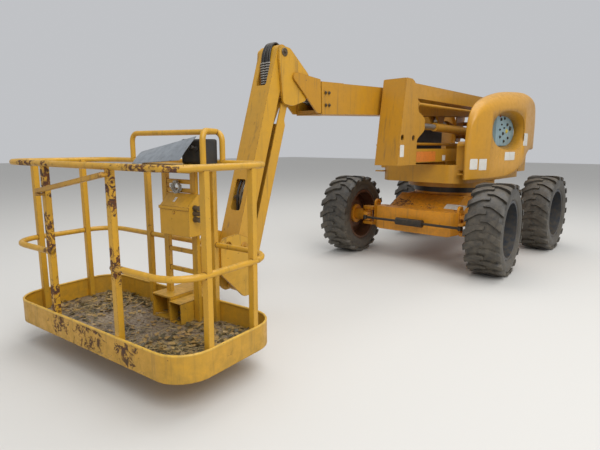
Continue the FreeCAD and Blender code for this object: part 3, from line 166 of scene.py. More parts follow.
def build_weathering():
    group = bpy.data.node_groups.new("weathered_paint", "ShaderNodeTree")
    for way, sockets in (("INPUT", SOCKETS_IN), ("OUTPUT", SOCKETS_OUT)):
        for kind, labels in sockets.items():
            for label in labels:
                group.interface.new_socket(name=label, in_out=way, socket_type="NodeSocket" + kind)
    read = group.nodes.new("NodeGroupInput").outputs
    end = group.nodes.new("NodeGroupOutput")

    def times(first, second):
        return maths(group, "MULTIPLY", first, second)

    def plus(first, second):
        return maths(group, "ADD", first, second)

    # the colour drifts from patch to patch, with fine dirt over it
    place = read["Vector"]
    mottle = noise(group, place, *MOTTLE)
    fade = times(ramp(group, noise(group, place, *PATCHES), 0.38, 0.72), read["Fading"])
    tone = mix(group, fade, read["Paint"], read["Faded"])
    fine = ramp(group, mottle, 0.3, 0.8)
    tone = mix(group, times(fine, 0.16), tone, read["Grime"])
    # rain streaks: noise stretched along the height
    runs = noise(group, vector_maths(group, "MULTIPLY", place, RAIN_STRETCH)[0], *RUNS)
    streak = times(ramp(group, runs, 0.52, 0.78), read["Streaks"])
    tone = mix(group, streak, tone, read["Grime"])
    # edges: where a rounded normal leaves the true one
    bevel = group.nodes.new("ShaderNodeBevel")
    bevel.samples = 4
    rounded = feed(group, bevel, {"Radius": read["Edge"]})[0]
    shape = group.nodes.new("ShaderNodeNewGeometry").outputs
    flat = vector_maths(group, "DOT_PRODUCT", rounded, shape["True Normal"])["Value"]
    edge = ramp(group, maths(group, "SUBTRACT", 1.0, flat), 0.02, 0.22)
    # chips along the edges, and flecks that the fleck spots have more of
    broken = noise(group, place, *BROKEN)
    wear = read["Chips"]
    reach = plus(broken, times(wear, 0.3))
    chip = times(edge, ramp(group, reach, 0.62, 0.70))
    reach = plus(noise(group, place, *FLECKS), times(wear, 0.085))
    reach = plus(reach, times(read["Fleck Spots"], 0.16))
    chip = maths(group, "MAXIMUM", chip, ramp(group, reach, 0.715, 0.735))
    chip = times(chip, times(wear, 8.0))
    # rust runs down from the chips
    bleed = times(ramp(group, runs, 0.56, 0.8), times(wear, wear))
    tone = mix(group, times(bleed, 0.55), tone, read["Rust"])
    rust = mix(group, ramp(group, broken, 0.35, 0.7), read["Rust"], OLD_RUST)
    tone = mix(group, chip, tone, rust)
    # dust lies on faces that look up and near the ground
    face = feed(group, group.nodes.new("ShaderNodeSeparateXYZ"), {0: shape["Normal"]})
    spot = feed(group, group.nodes.new("ShaderNodeSeparateXYZ"), {0: place})
    low = feed(group, group.nodes.new("ShaderNodeMapRange"),
               {"Value": spot["Z"], "From Min": read["Dust Height"], "From Max": 0.0})["Result"]
    dusty = maths(group, "MAXIMUM", times(ramp(group, face["Z"], 0.45, 0.95), 0.8), low)
    dusty = times(times(dusty, ramp(group, mottle, 0.25, 0.75)), read["Dust"])
    dull = plus(plus(times(chip, 0.4), times(dusty, 0.35)), times(fine, 0.18))
    feed(group, end, {
        "Color": mix(group, dusty, tone, read["Grime"]),
        "Roughness": plus(dull, 0.36),
        "Height": maths(group, "SUBTRACT", times(mottle, 0.25), times(chip, 0.8))})
    return group


WEATHERED = build_weathering()
print("group", WEATHERED.name, len(WEATHERED.nodes), "nodes")

# %% [markdown]
# A finish is a material with a place on the object: Object coordinates feed the group, and the
# group feeds the shader. Steel paint, bare steel, rubber and plastic differ in their numbers.

# %% Finish maker
BUMP_DEPTH = 0.0012


def finish(name, paint, faded, grime=(110, 92, 58), rust=(104, 60, 30), fading=0.5, chips=0.5,
           streaks=0.35, dust=0.4, dust_height=0.6, edge=0.006, metallic=0.0, bump=0.15,
           fleck_spots=()):
    """Makes a material. Its fleck spots are balls, centre and radius, where rust flecks show most.
    """
    made = bpy.data.materials.new(name)
    made.use_nodes = True
    tree = made.node_tree
    where = tree.nodes.new("ShaderNodeTexCoord").outputs["Object"]
    fleck_mask = 0.0
    for centre, radius in fleck_spots:
        away = vector_maths(tree, "DISTANCE", where, centre)["Value"]
        near = maths(tree, "SUBTRACT", 1.0, ramp(tree, away, radius * 0.3, radius))
        fleck_mask = maths(tree, "MAXIMUM", fleck_mask, near)
    group = tree.nodes.new("ShaderNodeGroup")
    group.node_tree = WEATHERED
    wear = feed(tree, group, {
        "Vector": where, "Paint": colour(*paint), "Faded": colour(*faded),
        "Grime": colour(*grime), "Rust": colour(*rust), "Fading": fading, "Chips": chips,
        "Streaks": streaks, "Dust": dust, "Dust Height": dust_height, "Edge": edge,
        "Fleck Spots": fleck_mask})
    relief = feed(tree, tree.nodes.new("ShaderNodeBump"), {
        "Strength": bump, "Distance": BUMP_DEPTH, "Height": wear["Height"]})
    feed(tree, tree.nodes["Principled BSDF"], {
        "Base Color": wear["Color"], "Roughness": wear["Roughness"],
        "Normal": relief["Normal"], "Metallic": metallic})


# %% Paints
# the gate posts and the top rail beside them have lost most paint
RAIL_SCUFFS = [((5.04, -0.36, 0.45), 0.22), ((5.04, -0.36, 0.85), 0.24),
               ((5.04, -0.36, 1.20), 0.20), ((4.955, 0.33, 1.16), 0.22),
               ((4.955, 0.33, 0.78), 0.18), ((4.93, 0.57, 1.30), 0.20),
               ((4.90, 0.76, 1.30), 0.16), ((5.10, -0.55, 1.30), 0.18)]
# the toe board is rubbed bare where the gate swings, and rusts there
TOE_SCUFFS = [((5.13, -0.27, 0.29), 0.22), ((5.07, 0.05, 0.30), 0.26), ((4.98, 0.42, 0.28), 0.16)]
# a line along the top of the deck is darkened with rust-coloured flecks
DECK_DARK_FLECKS = [((0.78, -0.30, 0.76), 0.26), ((0.84, 0.10, 0.73), 0.16), ((0.86, -0.42, 0.72), 0.2)]
# name, paint, faded paint, and where the wear differs from a usual paint's
PAINTS = [
    ("turret_ochre", (190, 136, 24), (178, 128, 34), dict(chips=0.3)),
    ("boom_ochre", (186, 132, 24), (172, 124, 36), dict(streaks=0.5)),
    ("hood_ochre", (196, 140, 26), (186, 134, 36), dict(streaks=0.25, chips=0.12, bump=0.06)),
    ("jib_yellow", (202, 150, 36), (186, 142, 52), dict(chips=0.55, streaks=0.5)),
    ("basket_yellow", (206, 154, 34), (188, 146, 52), dict(
        chips=0.8, dust=0.5, dust_height=0.5, grime=(104, 92, 46), edge=0.009,
        fleck_spots=RAIL_SCUFFS)),
    ("toe_yellow", (206, 152, 32), (186, 144, 48), dict(
        chips=0.7, dust=0.7, dust_height=0.42, grime=(112, 98, 50), edge=0.008,
        fleck_spots=TOE_SCUFFS)),
    ("gate_yellow", (196, 146, 40), (150, 112, 56), dict(
        chips=1.0, streaks=0.8, grime=(112, 84, 52), edge=0.012)),
    # a lighter copy of the toe board's yellow: a painted highlight on the rolled top edge
    ("edge_yellow", (222, 176, 62), (206, 164, 74), dict(chips=0.75, edge=0.004)),
    ("chassis_orange", (222, 146, 14), (204, 136, 26), dict(
        chips=0.65, dust=0.55, dust_height=0.75, grime=(112, 88, 58), fleck_spots=DECK_DARK_FLECKS)),
    ("patch_orange", (212, 116, 34), (200, 122, 52), dict(
        streaks=0.4, rust=(150, 96, 50), edge=0.001)),
    ("plate_white", (222, 219, 210), (206, 200, 186), dict(
        chips=0.15, rust=(120, 100, 70), edge=0.001)),
    ("panel_blue", (142, 172, 180), (120, 150, 160), dict(chips=0.2, streaks=0.5)),
    ("lid_grey", (138, 144, 150), (116, 122, 128), dict(
        grime=(84, 84, 82), chips=0.35, rust=(60, 60, 62), streaks=0.5, metallic=0.2)),
    ("dark_steel", (40, 38, 37), (58, 54, 50), dict(dust=0.5, metallic=0.3)),
    ("rim_slate", (42, 52, 64), (54, 60, 66), dict(
        rust=(82, 50, 34), chips=0.6, dust=0.6, dust_height=1.0)),
    ("rusty_brown", (84, 48, 36), (100, 62, 44), dict(chips=0.7, dust=0.5, dust_height=1.0)),
    ("bolt_steel", (96, 84, 66), (84, 64, 46), dict(chips=0.7, metallic=0.5, edge=0.002)),
    ("chrome", (190, 190, 186), (170, 168, 162), dict(
        chips=0.05, streaks=0.1, dust=0.1, metallic=0.9, bump=0.03)),
    ("floor_plate", (116, 98, 78), (150, 126, 96), dict(
        grime=(98, 84, 62), rust=(86, 52, 36), chips=0.8, dust=0.6, dust_height=0.3)),
    ("floor_soil", (122, 108, 90), (154, 138, 114), dict(
        grime=(84, 74, 52), rust=(74, 50, 36), fading=0.9, chips=0.9, streaks=0.0,
        dust_height=0.3, bump=0.3)),
    ("straw_tan", (178, 156, 104), (142, 118, 70), dict(chips=0.0, grime=(96, 78, 48))),
    ("leaf_brown", (150, 118, 62), (186, 160, 92), dict(chips=0.0, grime=(84, 64, 38))),
    ("leaf_dark", (74, 64, 36), (92, 84, 44), dict(chips=0.0, grime=(60, 52, 34))),
    ("console_black", (30, 30, 32), (52, 52, 52), dict(chips=0.05, dust=0.3, bump=0.1)),
    ("plastic_red", (150, 30, 24), (130, 44, 38), dict(chips=0.0, streaks=0.3)),
    ("plastic_yellow", (214, 190, 60), (196, 176, 70), dict(chips=0.0, streaks=0.3)),
    ("hose_black", (24, 24, 25), (46, 44, 42), dict(chips=0.0, bump=0.1)),
    ("hose_dusty", (84, 74, 58), (60, 54, 46), dict(chips=0.0, dust=0.5, bump=0.2)),
    ("wrap_grey", (150, 146, 138), (122, 118, 110), dict(chips=0.1, dust=0.3, bump=0.1)),
    ("cable_white", (176, 176, 170), (146, 146, 140), dict(chips=0.0, streaks=0.4)),
    ("rubber", (46, 45, 43), (72, 68, 62), dict(
        grime=(112, 103, 88), chips=0.0, streaks=0.2, fading=0.8, dust=0.8, dust_height=1.25,
        bump=0.3)),
]
for name, paint, faded, wear in PAINTS:
    finish(name, paint, faded, **wear)
print("finishes", len(PAINTS))

# %% [markdown]
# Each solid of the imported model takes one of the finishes. A table of name beginnings says which,
# and the longest beginning that fits a name wins.

# %% Finishes of the solids
FINISHES = {
    "rubber": ["tyre_"],
    "rim_slate": ["rim_"],
    "rusty_brown": ["rim_front_right"],
    "chassis_orange": ["knuckle_", "front_axle", "rear_axle", "chassis_frame"],
    "dark_steel": ["steering_cylinder", "tie_rods", "slew_ring", "engine_block"],
    "turret_ochre": ["turntable_", "counterweight", "hood_"],
    "panel_blue": ["control_panel"],
    "boom_ochre": ["lower_arm", "upper_arm", "upright", "rear_knuckle", "upper_link",
                   "lower_link", "arm_ram_barrel", "boom_ram_barrel", "boom_outer", "boom_inner"],
    "chrome": ["arm_ram_rod", "boom_ram_rod", "level_ram_rod", "jib_ram_rod"],
    "console_black": ["level_ram_barrel"],
    "jib_yellow": ["jib"],
    "toe_yellow": ["basket_floor"],
    "basket_yellow": ["basket_", "console"],
}
STARTS = sorted(((start, look) for look, starts in FINISHES.items() for start in starts),
                key=lambda row: -len(row[0]))
for name, thing in NODES.items():
    look = next(look for start, look in STARTS if name.startswith(start))
    thing.data.materials.clear()
    thing.data.materials.append(bpy.data.materials[look])
print("dressed", len(NODES), "solids")

# %% [markdown]
# Small parts are built from a few helpers: a box with rounded edges, a hexagon bolt on its washer,
# and anything round as a profile spun about its axis. Each is made at the origin, then moved to its
# place as a whole, so the same bolt serves every joint of the machine.


# %% Shape helpers
def piece(name, mesh_made, look, body, smooth=False):
    """Turns a bmesh into a named piece that rides on a body."""
    data = bpy.data.meshes.new(name)
    mesh_made.to_mesh(data)
    mesh_made.free()
    data.materials.append(bpy.data.materials[look])
    if smooth:
        data.shade_smooth()
    made = placed(name, data)
    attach(made, body)
    return made


def shifted(part, place):
    """A whole mesh, moved by a matrix."""
    bmesh.ops.transform(part, matrix=place, verts=part.verts[:])
    return part


def joined(target, part, place=Matrix()):
    """Adds one finished shape to a bigger mesh, moved by a matrix."""
    carry = bpy.data.meshes.new("carry")
    shifted(part, place).to_mesh(carry)
    part.free()
    target.from_mesh(carry)
    bpy.data.meshes.remove(carry)


def eased(mesh, geom, offset, segments=2, kind="EDGES"):
    """Rounds some edges or points of a mesh."""
    bmesh.ops.bevel(mesh, geom=geom, offset=offset, segments=segments, profile=0.5, affect=kind,
                    material=-1)
    return mesh


def thickened(mesh, thickness):
    """Gives a sheet its thickness."""
    bmesh.ops.solidify(mesh, geom=mesh.faces[:], thickness=thickness)
    bmesh.ops.recalc_face_normals(mesh, faces=mesh.faces[:])
    return mesh


def rounded_box(size, rounding):
    made = bmesh.new()
    bmesh.ops.create_cube(made, size=1.0)
    bmesh.ops.scale(made, vec=size, verts=made.verts[:])
    return eased(made, made.edges[:], rounding)


def spun(profile, steps, axis="Y"):
    """A closed or open profile of (along, radius) spun round an axis."""
    made = bmesh.new()
    verts = [made.verts.new((radius, along, 0.0)) for along, radius in profile]
    edges = [made.edges.new(pair) for pair in zip(verts, verts[1:])]
    bmesh.ops.spin(made, geom=verts + edges, cent=(0, 0, 0), axis=(0, 1, 0), angle=math.tau,
                   steps=steps, use_merge=True, use_duplicate=False)
    bmesh.ops.remove_doubles(made, verts=made.verts[:], dist=0.00002)
    bmesh.ops.recalc_face_normals(made, faces=made.faces[:])
    if axis == "Y":
        return made
    return shifted(made, Matrix.Rotation(math.pi / 2, 4, "X" if axis == "Z" else "Z"))


def turned(profile, steps=24):
    """A profile of (along, radius) that starts and ends on the axis, spun about Z."""
    return spun(profile, steps, "Z")


def hex_bolt(radius):
    """A washer, a hexagon head and the round end of the thread, standing on Z = 0."""
    made = bmesh.new()
    washer = radius * 0.22
    head = radius * 0.85
    flange = radius * 1.45
    joined(made, turned([(0.0, 0.0), (0.0, flange), (washer, flange), (washer, 0.0)], 20))
    nut = bmesh.new()
    bmesh.ops.create_cone(nut, cap_ends=True, segments=6, radius1=radius, radius2=radius,
                          depth=head, matrix=Matrix.Translation((0, 0, washer + head / 2)))
    rim = [edge for edge in nut.edges
           if all(vert.co.z > washer + head * 0.9 for vert in edge.verts)]
    joined(made, eased(nut, rim, radius * 0.14, 1))
    top = washer + head
    end = top + radius * 0.3
    joined(made, turned([(top, 0.0), (top, radius * 0.55), (end, radius * 0.5), (end, 0.0)], 12))
    return made


def facing(point, direction):
    """The matrix that stands a shape on a point, its Z along a direction."""
    turn = Vector(direction).to_track_quat("Z", "Y").to_matrix().to_4x4()
    return Matrix.Translation(point) @ turn


def middle(node):
    low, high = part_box(node)
    return (Vector(low) + Vector(high)) / 2


print("bolt faces", len(hex_bolt(0.01).faces))

# %% [markdown]
# The tyres are the loader kind: two rows of thick lugs that reach past the middle in turn, so that
# a wavy groove runs between them. One lug is made flat, as a strip with a bevelled top, and then
# each copy is wrapped round the carcass. Wrapping a flat lug is easier than carving a round one.

# %% Tyre sizes
TYRE_RADIUS = 0.5098
CARCASS_RADIUS = 0.486
BEAD_RADIUS = 0.3135
LUGS_A_SIDE = 19
LUG_STEPS = 12
LUG_FROM, LUG_TO = -0.022, 0.1915


def lug_middle(reach):
    """Where a lug's middle line lies round the tyre, against its distance outwards."""
    slope = max(0.0, reach - 0.055)
    return -0.42 * slope - 1.2 * slope * slope


def lug_half(reach):
    """Half of a lug's width at that distance outwards."""
    return 0.026 + 0.016 * min(1.0, max(0.0, (reach - 0.03) / 0.09))


def shoulder_drop(reach):
    """How far the lug's top falls away towards the sidewall."""
    over = max(0.0, reach - 0.135)
    return 3.6 * over * over


# %% One lug
def add_lug(tread, side, angle, rng):
    lug = bmesh.new()
    bmesh.ops.create_grid(lug, x_segments=LUG_STEPS, y_segments=2, size=0.5)
    top = bmesh.ops.extrude_face_region(lug, geom=lug.faces[:])
    raised = [item for item in top["geom"] if isinstance(item, bmesh.types.BMVert)]
    for vert in lug.verts:
        vert.co.z = 0.0
    for vert in raised:
        vert.co.z = 1.0
    bmesh.ops.recalc_face_normals(lug, faces=lug.faces[:])
    wear = rng.uniform(-0.0015, 0.0)
    wobble = rng.uniform(-0.0025, 0.0025)
    for vert in lug.verts:
        along = vert.co.x + 0.5
        across = vert.co.y * 2.0
        high = vert.co.z
        reach = LUG_FROM + (LUG_TO - LUG_FROM) * along
        taper = 1.0 - 0.16 * high
        span = lug_half(reach) * taper * (0.8 if along < 0.01 else 1.0)
        turn = angle + (lug_middle(reach) + wobble + across * span) / TYRE_RADIUS
        top_radius = TYRE_RADIUS + wear - shoulder_drop(reach)
        low_radius = CARCASS_RADIUS - 0.012 - shoulder_drop(reach) * 1.1
        radius = low_radius + (top_radius - low_radius) * high
        vert.co = Vector((radius * math.cos(turn), side * reach, radius * math.sin(turn)))
    if side < 0:
        bmesh.ops.reverse_faces(lug, faces=lug.faces[:])
    joined(tread, lug)


# %% Carcass with its sidewalls
HALF_CARCASS = [(0.090, CARCASS_RADIUS), (0.150, 0.478), (0.178, 0.462), (0.186, 0.440),
                (0.190, 0.410), (0.187, 0.380), (0.176, 0.345), (0.158, 0.330),
                (0.150, BEAD_RADIUS - 0.001)]
CARCASS = [(-along, radius) for along, radius in reversed(HALF_CARCASS)]
CARCASS += [(0.0, CARCASS_RADIUS + 0.001)] + HALF_CARCASS
print("carcass", len(CARCASS), "points")


# %% Four tyres
# each wheel's turn as parked, in degrees
WHEELS = [("front_left", 5.0), ("front_right", 3.8), ("rear_left", 0.0), ("rear_right", 0.0)]
for index, (corner, turn) in enumerate(WHEELS):
    rng = random.Random(40 + index)
    tyre = spun(CARCASS, 96)
    for lug in range(LUGS_A_SIDE):
        angle = math.tau * lug / LUGS_A_SIDE
        add_lug(tyre, 1, angle, rng)
        add_lug(tyre, -1, angle + math.pi / LUGS_A_SIDE, rng)
    place = Matrix.Translation(middle("tyre_" + corner))
    shifted(tyre, place @ Matrix.Rotation(math.radians(turn), 4, "Z"))
    made = piece("tread_" + corner, tyre, "rubber", BODY_OF["tyre_" + corner])
    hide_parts("tyre_" + corner)
    print(made.name, len(made.data.polygons), "faces")

# %% [markdown]
# The boom, the jib and the basket each lie at an angle. A matrix for each lets their trim be
# written along the part itself: along, across, and up from its own middle line.

# %% Places of the tilted parts
BOOM = Matrix.Translation((-1.0, -0.18, 2.0)) @ Matrix.Rotation(math.radians(2.4), 4, "Y")
JIB = Matrix.Translation((3.231, -0.18, 2.176)) @ Matrix.Rotation(math.radians(73.2), 4, "Y")
BASKET = Matrix.Translation((4.6277, -0.0748, 0.18974)) @ Matrix.Rotation(math.radians(7.0), 4, "Z")
print("jib foot", [round(v, 3) for v in JIB @ Vector((1.634, 0, 0))])

# %% [markdown]
# Nine nuts hold each wheel to its hub, and six smaller bolts close the hub. They sit in two rings
# round the wheel's middle, and turn with it.

# %% Wheel nuts
# bolts, ring radius, distance out from the rim's middle, bolt radius, turn in steps
RINGS = [(9, 0.146, -0.029, 0.016, 0.0), (6, 0.075, 0.065, 0.009, 0.5)]
for corner, turn in WHEELS:
    outward = 1 if "left" in corner else -1
    nuts = bmesh.new()
    for count, ring, out, radius, shift in RINGS:
        for index in range(count):
            angle = math.tau * (index + shift) / count
            spot = (ring * math.cos(angle), outward * out, ring * math.sin(angle))
            joined(nuts, hex_bolt(radius), facing(spot, (0, outward, 0)))
    place = Matrix.Translation(middle("rim_" + corner))
    shifted(nuts, place @ Matrix.Rotation(math.radians(turn), 4, "Z"))
    piece("nuts_" + corner, nuts, "bolt_steel", BODY_OF["rim_" + corner])
print("wheel nuts on", len(WHEELS), "rims")

# %% [markdown]
# The upright is two side plates and a front cover. Its plates narrow above the lower arm's pin and
# step out to the rear under the upper arm. Small lifting holes go right through.

# %% Upright
def cut_plate(target, outline, holes, low_y, high_y):
    """A flat plate in the XZ plane with round holes, added to the target."""
    made = bmesh.new()
    rings = [outline] + [[(x + radius * math.cos(math.tau * step / 24),
                           z + radius * math.sin(math.tau * step / 24))
                          for step in range(24)] for x, z, radius in holes]
    for ring in rings:
        knots = [made.verts.new((x, low_y, z)) for x, z in ring]
        for first, second in zip(knots, knots[1:] + knots[:1]):
            made.edges.new((first, second))
    bmesh.ops.triangle_fill(made, use_beauty=True, edges=made.edges[:])
    raised = bmesh.ops.extrude_face_region(made, geom=made.faces[:])
    moved = [part for part in raised["geom"] if isinstance(part, bmesh.types.BMVert)]
    bmesh.ops.translate(made, verts=moved, vec=(0, high_y - low_y, 0))
    bmesh.ops.recalc_face_normals(made, faces=made.faces[:])
    joined(target, made)


UPRIGHT_SIDE = [(1.552, 1.215), (1.942, 1.215), (1.816, 2.090), (1.808, 2.095),
                (1.70, 2.095), (1.66, 2.080), (1.60, 2.035), (1.575, 1.98), (1.548, 1.80),
                (1.535, 1.775), (1.42, 1.725), (1.39, 1.700), (1.39, 1.60), (1.405, 1.575),
                (1.535, 1.495), (1.552, 1.47)]
UPRIGHT_COVER = [(1.928, 1.215), (1.942, 1.215), (1.816, 2.095), (1.802, 2.095)]
UPRIGHT_HOLES = [(1.855, 1.500, 0.031), (1.628, 1.498, 0.031)]
upright_made = bmesh.new()
for low_y, high_y in ((0.281, 0.295), (0.025, 0.039)):
    cut_plate(upright_made, UPRIGHT_SIDE, UPRIGHT_HOLES, low_y, high_y)
cut_plate(upright_made, UPRIGHT_COVER, [], 0.039, 0.281)
UPRIGHT_PINS = [(1.72, 1.31, 0.032), (1.64, 1.99, 0.032), (1.64 - 0.120, 1.99 - 0.130, 0.018),
                (1.72 - 0.120, 1.31 + 0.130, 0.018)]
for x, z, radius in UPRIGHT_PINS:
    joined(upright_made, turned([(0.0, 0.0), (0.0, radius), (0.256, radius), (0.256, 0.0)]),
           facing((x, 0.032, z), (0, 1, 0)))
upright_shown = piece("upright_plates", upright_made, "boom_ochre", BODY_OF["upright"])
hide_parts("upright")
print("upright", len(upright_shown.data.polygons), "faces")

# %% [markdown]
# Pins are kept from turning by round caps and a small bolt. They show on both sides of every arm.

# %% Pin caps
# outer faces of the plates, by the way that they look
PLATE_FACES = {1: -0.045, -1: -0.315}
# node, finish, then x, z and cap radius of each pin
PIN_CAPS = [("jib_knuckle", "bolt_steel", [(3.231, 2.176, 0.034), (2.98, 1.975, 0.038)]),
            ("basket_carrier", "boom_ochre", [(3.703, 0.612, 0.034)])]
for node, look, pins in PIN_CAPS:
    caps = bmesh.new()
    for x, z, radius in pins:
        for way, face in PLATE_FACES.items():
            place = facing((x, face, z), (0, way, 0))
            joined(caps, turned([(-0.004, 0.0), (-0.004, radius), (0.005, radius),
                                 (0.008, radius - 0.004), (0.008, 0.0)]), place)
            joined(caps, hex_bolt(0.009), place @ Matrix.Translation((0, 0, 0.008)))
    piece("caps_" + node, caps, look, BODY_OF[node])
print("pin caps on", len(PIN_CAPS), "nodes")

# %% [markdown]
# The collar at the front of the boom holds its wear pads by keeper plates, two bolts to a plate.

# %% Collar bolts
COLLAR_FACE, COLLAR_END = 0.165, 3.773
collar = bmesh.new()
for side in (1, -1):
    for level in (0.048, -0.062):
        for along in (COLLAR_END - 0.100, COLLAR_END - 0.050):
            spot = BOOM @ Vector((along, side * COLLAR_FACE, level))
            joined(collar, hex_bolt(0.0105), facing(spot, (0, side, 0)))
piece("collar_bolts", collar, "bolt_steel", BODY_OF["boom_outer"])

# %% [markdown]
# Hydraulic hoses run down inside the jib. They leave it by the window at its head, in a spiral
# guard, and lie over the pin. A NURBS curve with a round bevel is the natural way to make a hose.

# %% Hose maker
def round_line(name, radius, around, along):
    """An empty curve with a round section, and its numbers of steps around and along."""
    line = bpy.data.curves.new(name, "CURVE")
    line.dimensions = "3D"
    line.bevel_depth = radius
    line.bevel_resolution = around
    line.resolution_u = along
    line.use_fill_caps = True
    return line


def hose(name, points, radius, look):
    """A hose along a few guide points of the jib."""
    line = round_line(name, radius, 3, 8)
    route = line.splines.new("NURBS")
    route.points.add(len(points) - 1)
    for knot, point in zip(route.points, points):
        knot.co = (*(JIB @ Vector(point)), 1.0)
    route.order_u = 3
    route.use_endpoint_u = True
    line.materials.append(bpy.data.materials[look])
    made = placed(name, line)
    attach(made, BODY_OF["jib"])


# %% Hoses over the jib's head
HEAD_HOSES = [-0.043, -0.021, 0.001, 0.023, 0.045]
OVER = 0.0625 + 0.013
wraps = bmesh.new()
for index, across in enumerate(HEAD_HOSES):
    lean = 0.004 * (index % 2)
    route = [(0.42, across * 0.8, -0.02), (0.30, across, 0.0), (0.20, across, 0.034 + lean),
             (0.11, across, 0.062 + lean), (0.02, across * 0.9, OVER + lean),
             (-0.05, across * 0.8, OVER * 0.86), (-0.088, across * 0.7, 0.02),
             (-0.072, across * 0.6, -0.05), (-0.01, across * 0.6, -0.078)]
    hose("head_hose_%d" % index, route, 0.0095, "hose_black")
    # the guard is a strip wound round the hose; its turns show as close rings
    for turn in range(11):
        along = 0.30 - 0.019 * turn
        up_from = 0.0062 * turn + lean
        ring = spun([(-0.005, 0.0102), (-0.004, 0.0135), (0.004, 0.0135), (0.005, 0.0102)], 14, "X")
        tilt = Matrix.Rotation(math.radians(17 + (index % 2) * 3), 4, "Y")
        tilt = tilt @ Matrix.Rotation(math.radians(14), 4, "Z")
        joined(wraps, ring, JIB @ Matrix.Translation((along, across, up_from)) @ tilt)
piece("hose_guards", wraps, "wrap_grey", BODY_OF["jib"])
print("head hoses", len(HEAD_HOSES))

# %% Hoses in the jib's lower window
# across, how far it leans out of the window, radius, finish
LOW_HOSES = [(-0.045, 0.030, 0.0095, "hose_dusty"), (-0.022, 0.052, 0.0095, "hose_black"),
             (0.000, 0.036, 0.0085, "hose_dusty"), (0.022, 0.056, 0.0095, "hose_dusty"),
             (0.044, 0.034, 0.0095, "hose_black")]
for index, (across, out, radius, look) in enumerate(LOW_HOSES):
    route = [(0.95, across * 0.8, -0.01), (1.08, across, out * 0.5), (1.18, across * 1.05, out),
             (1.28, across * 0.9 + 0.006, out * 0.9), (1.36, across * 0.8, 0.0),
             (1.46, across * 0.7, -0.012)]
    hose("low_hose_%d" % index, route, radius, look)
print("low hoses", len(LOW_HOSES))

# %% [markdown]
# The hoods are moulded glass-fibre shells. A few sections along the machine give the form, each a
# square-cornered frame rounded at its outer corners. More sections are blended between them, the
# open loops are bridged, and the skin gets its thickness last, so that it stays even.

# %% Hood skins
# x, outer y, lower z, upper z, upper rounding, lower rounding
HOOD_REAR = [
    (-0.40, 0.790, 1.130, 2.120, 0.205, 0.07), (-0.80, 0.730, 1.270, 2.130, 0.14, 0.10),
    (-1.15, 0.680, 1.365, 2.060, 0.095, 0.08), (-1.38, 0.630, 1.370, 1.800, 0.04, 0.03),
]
HOOD_NOSES = {
    1: [(0.968, 0.600, 1.035, 1.460, 0.02, 0.012), (0.930, 0.640, 1.032, 1.700, 0.05, 0.02),
        (0.800, 0.692, 1.030, 1.872, 0.10, 0.03), (0.550, 0.745, 1.030, 1.975, 0.14, 0.035),
        (0.100, 0.790, 1.045, 2.070, 0.19, 0.045)],
    -1: [(0.440, 0.620, 1.035, 1.500, 0.02, 0.012), (0.400, 0.655, 1.032, 1.780, 0.05, 0.02),
         (0.250, 0.735, 1.034, 1.985, 0.13, 0.03), (-0.050, 0.790, 1.060, 2.085, 0.19, 0.045)],
}
HOOD_INNER = 0.575


def blended(rows, steps):
    """Rows between the given ones, on a smooth curve through them."""
    made = []
    for index in range(len(rows) - 1):
        before = rows[max(index - 1, 0)]
        first, second = rows[index], rows[index + 1]
        after = rows[min(index + 2, len(rows) - 1)]
        for step in range(steps):
            t = step / steps
            made.append(tuple(
                0.5 * (2 * b + (c - a) * t + (2 * a - 5 * b + 4 * c - d) * t * t
                       + (3 * b - a - 3 * c + d) * t ** 3)
                for a, b, c, d in zip(before, first, second, after)))
    return made + [rows[-1]]


def hood_shell(side):
    """One hood's outer skin, open towards the middle."""
    shell = bmesh.new()
    rings = []
    for x, out, low, high, top_round, low_round in blended(HOOD_NOSES[side] + HOOD_REAR, 5):
        frame_loop = bmesh.new()
        corners = [(x, side * HOOD_INNER, low), (x, side * out, low), (x, side * out, high),
                   (x, side * HOOD_INNER, high)]
        verts = [frame_loop.verts.new(corner) for corner in corners]
        frame_loop.faces.new(verts)
        room = out - HOOD_INNER
        for spot, rounding in ((verts[1], min(low_round, room * 0.9)),
                               (verts[2], min(top_round, room * 0.95))):
            eased(frame_loop, [spot], max(rounding, 0.008), 8, "VERTICES")
        bmesh.ops.delete(frame_loop, geom=frame_loop.faces[:], context="FACES_ONLY")
        base = len(shell.edges)
        joined(shell, frame_loop)
        shell.edges.ensure_lookup_table()
        rings.append(shell.edges[base:])
    for first, second in zip(rings, rings[1:]):
        bmesh.ops.bridge_loops(shell, edges=first + second)
    for ring in (rings[0], rings[-1]):
        bmesh.ops.contextual_create(shell, geom=ring)
    inner = [face for face in shell.faces
             if all(abs(abs(vert.co.y) - HOOD_INNER) < 0.0005 for vert in face.verts)]
    bmesh.ops.delete(shell, geom=inner, context="FACES")
    bmesh.ops.recalc_face_normals(shell, faces=shell.faces[:])
    outer = max(shell.faces, key=lambda face: face.calc_center_median().y * side)
    if outer.normal.y * side < 0:
        bmesh.ops.reverse_faces(shell, faces=shell.faces[:])
    return shell


left_skin = hood_shell(1)
print("hood skin", len(left_skin.faces), "faces")

# %% [markdown]
# The port's mouth is an oval cut by a Boolean, and a funnel leads in from it to the panel. The
# funnel is two rings of points, one dropped on the skin and one beside the panel, bridged.

# %% Port
PORT_X, PORT_Z, PORT_HALF_X, PORT_HALF_Z = 0.095, 1.602, 0.505, 0.243
INNER_Y, INNER_HALF_X, INNER_HALF_Z, INNER_X = 0.655, 0.455, 0.185, 0.070


def oval(half_x, half_z, angle, power=2.35):
    """A point of a full oval, a little squarer than an ellipse."""
    reach = (abs(math.cos(angle)) ** power + abs(math.sin(angle)) ** power) ** (-1 / power)
    return half_x * reach * math.cos(angle), half_z * reach * math.sin(angle)


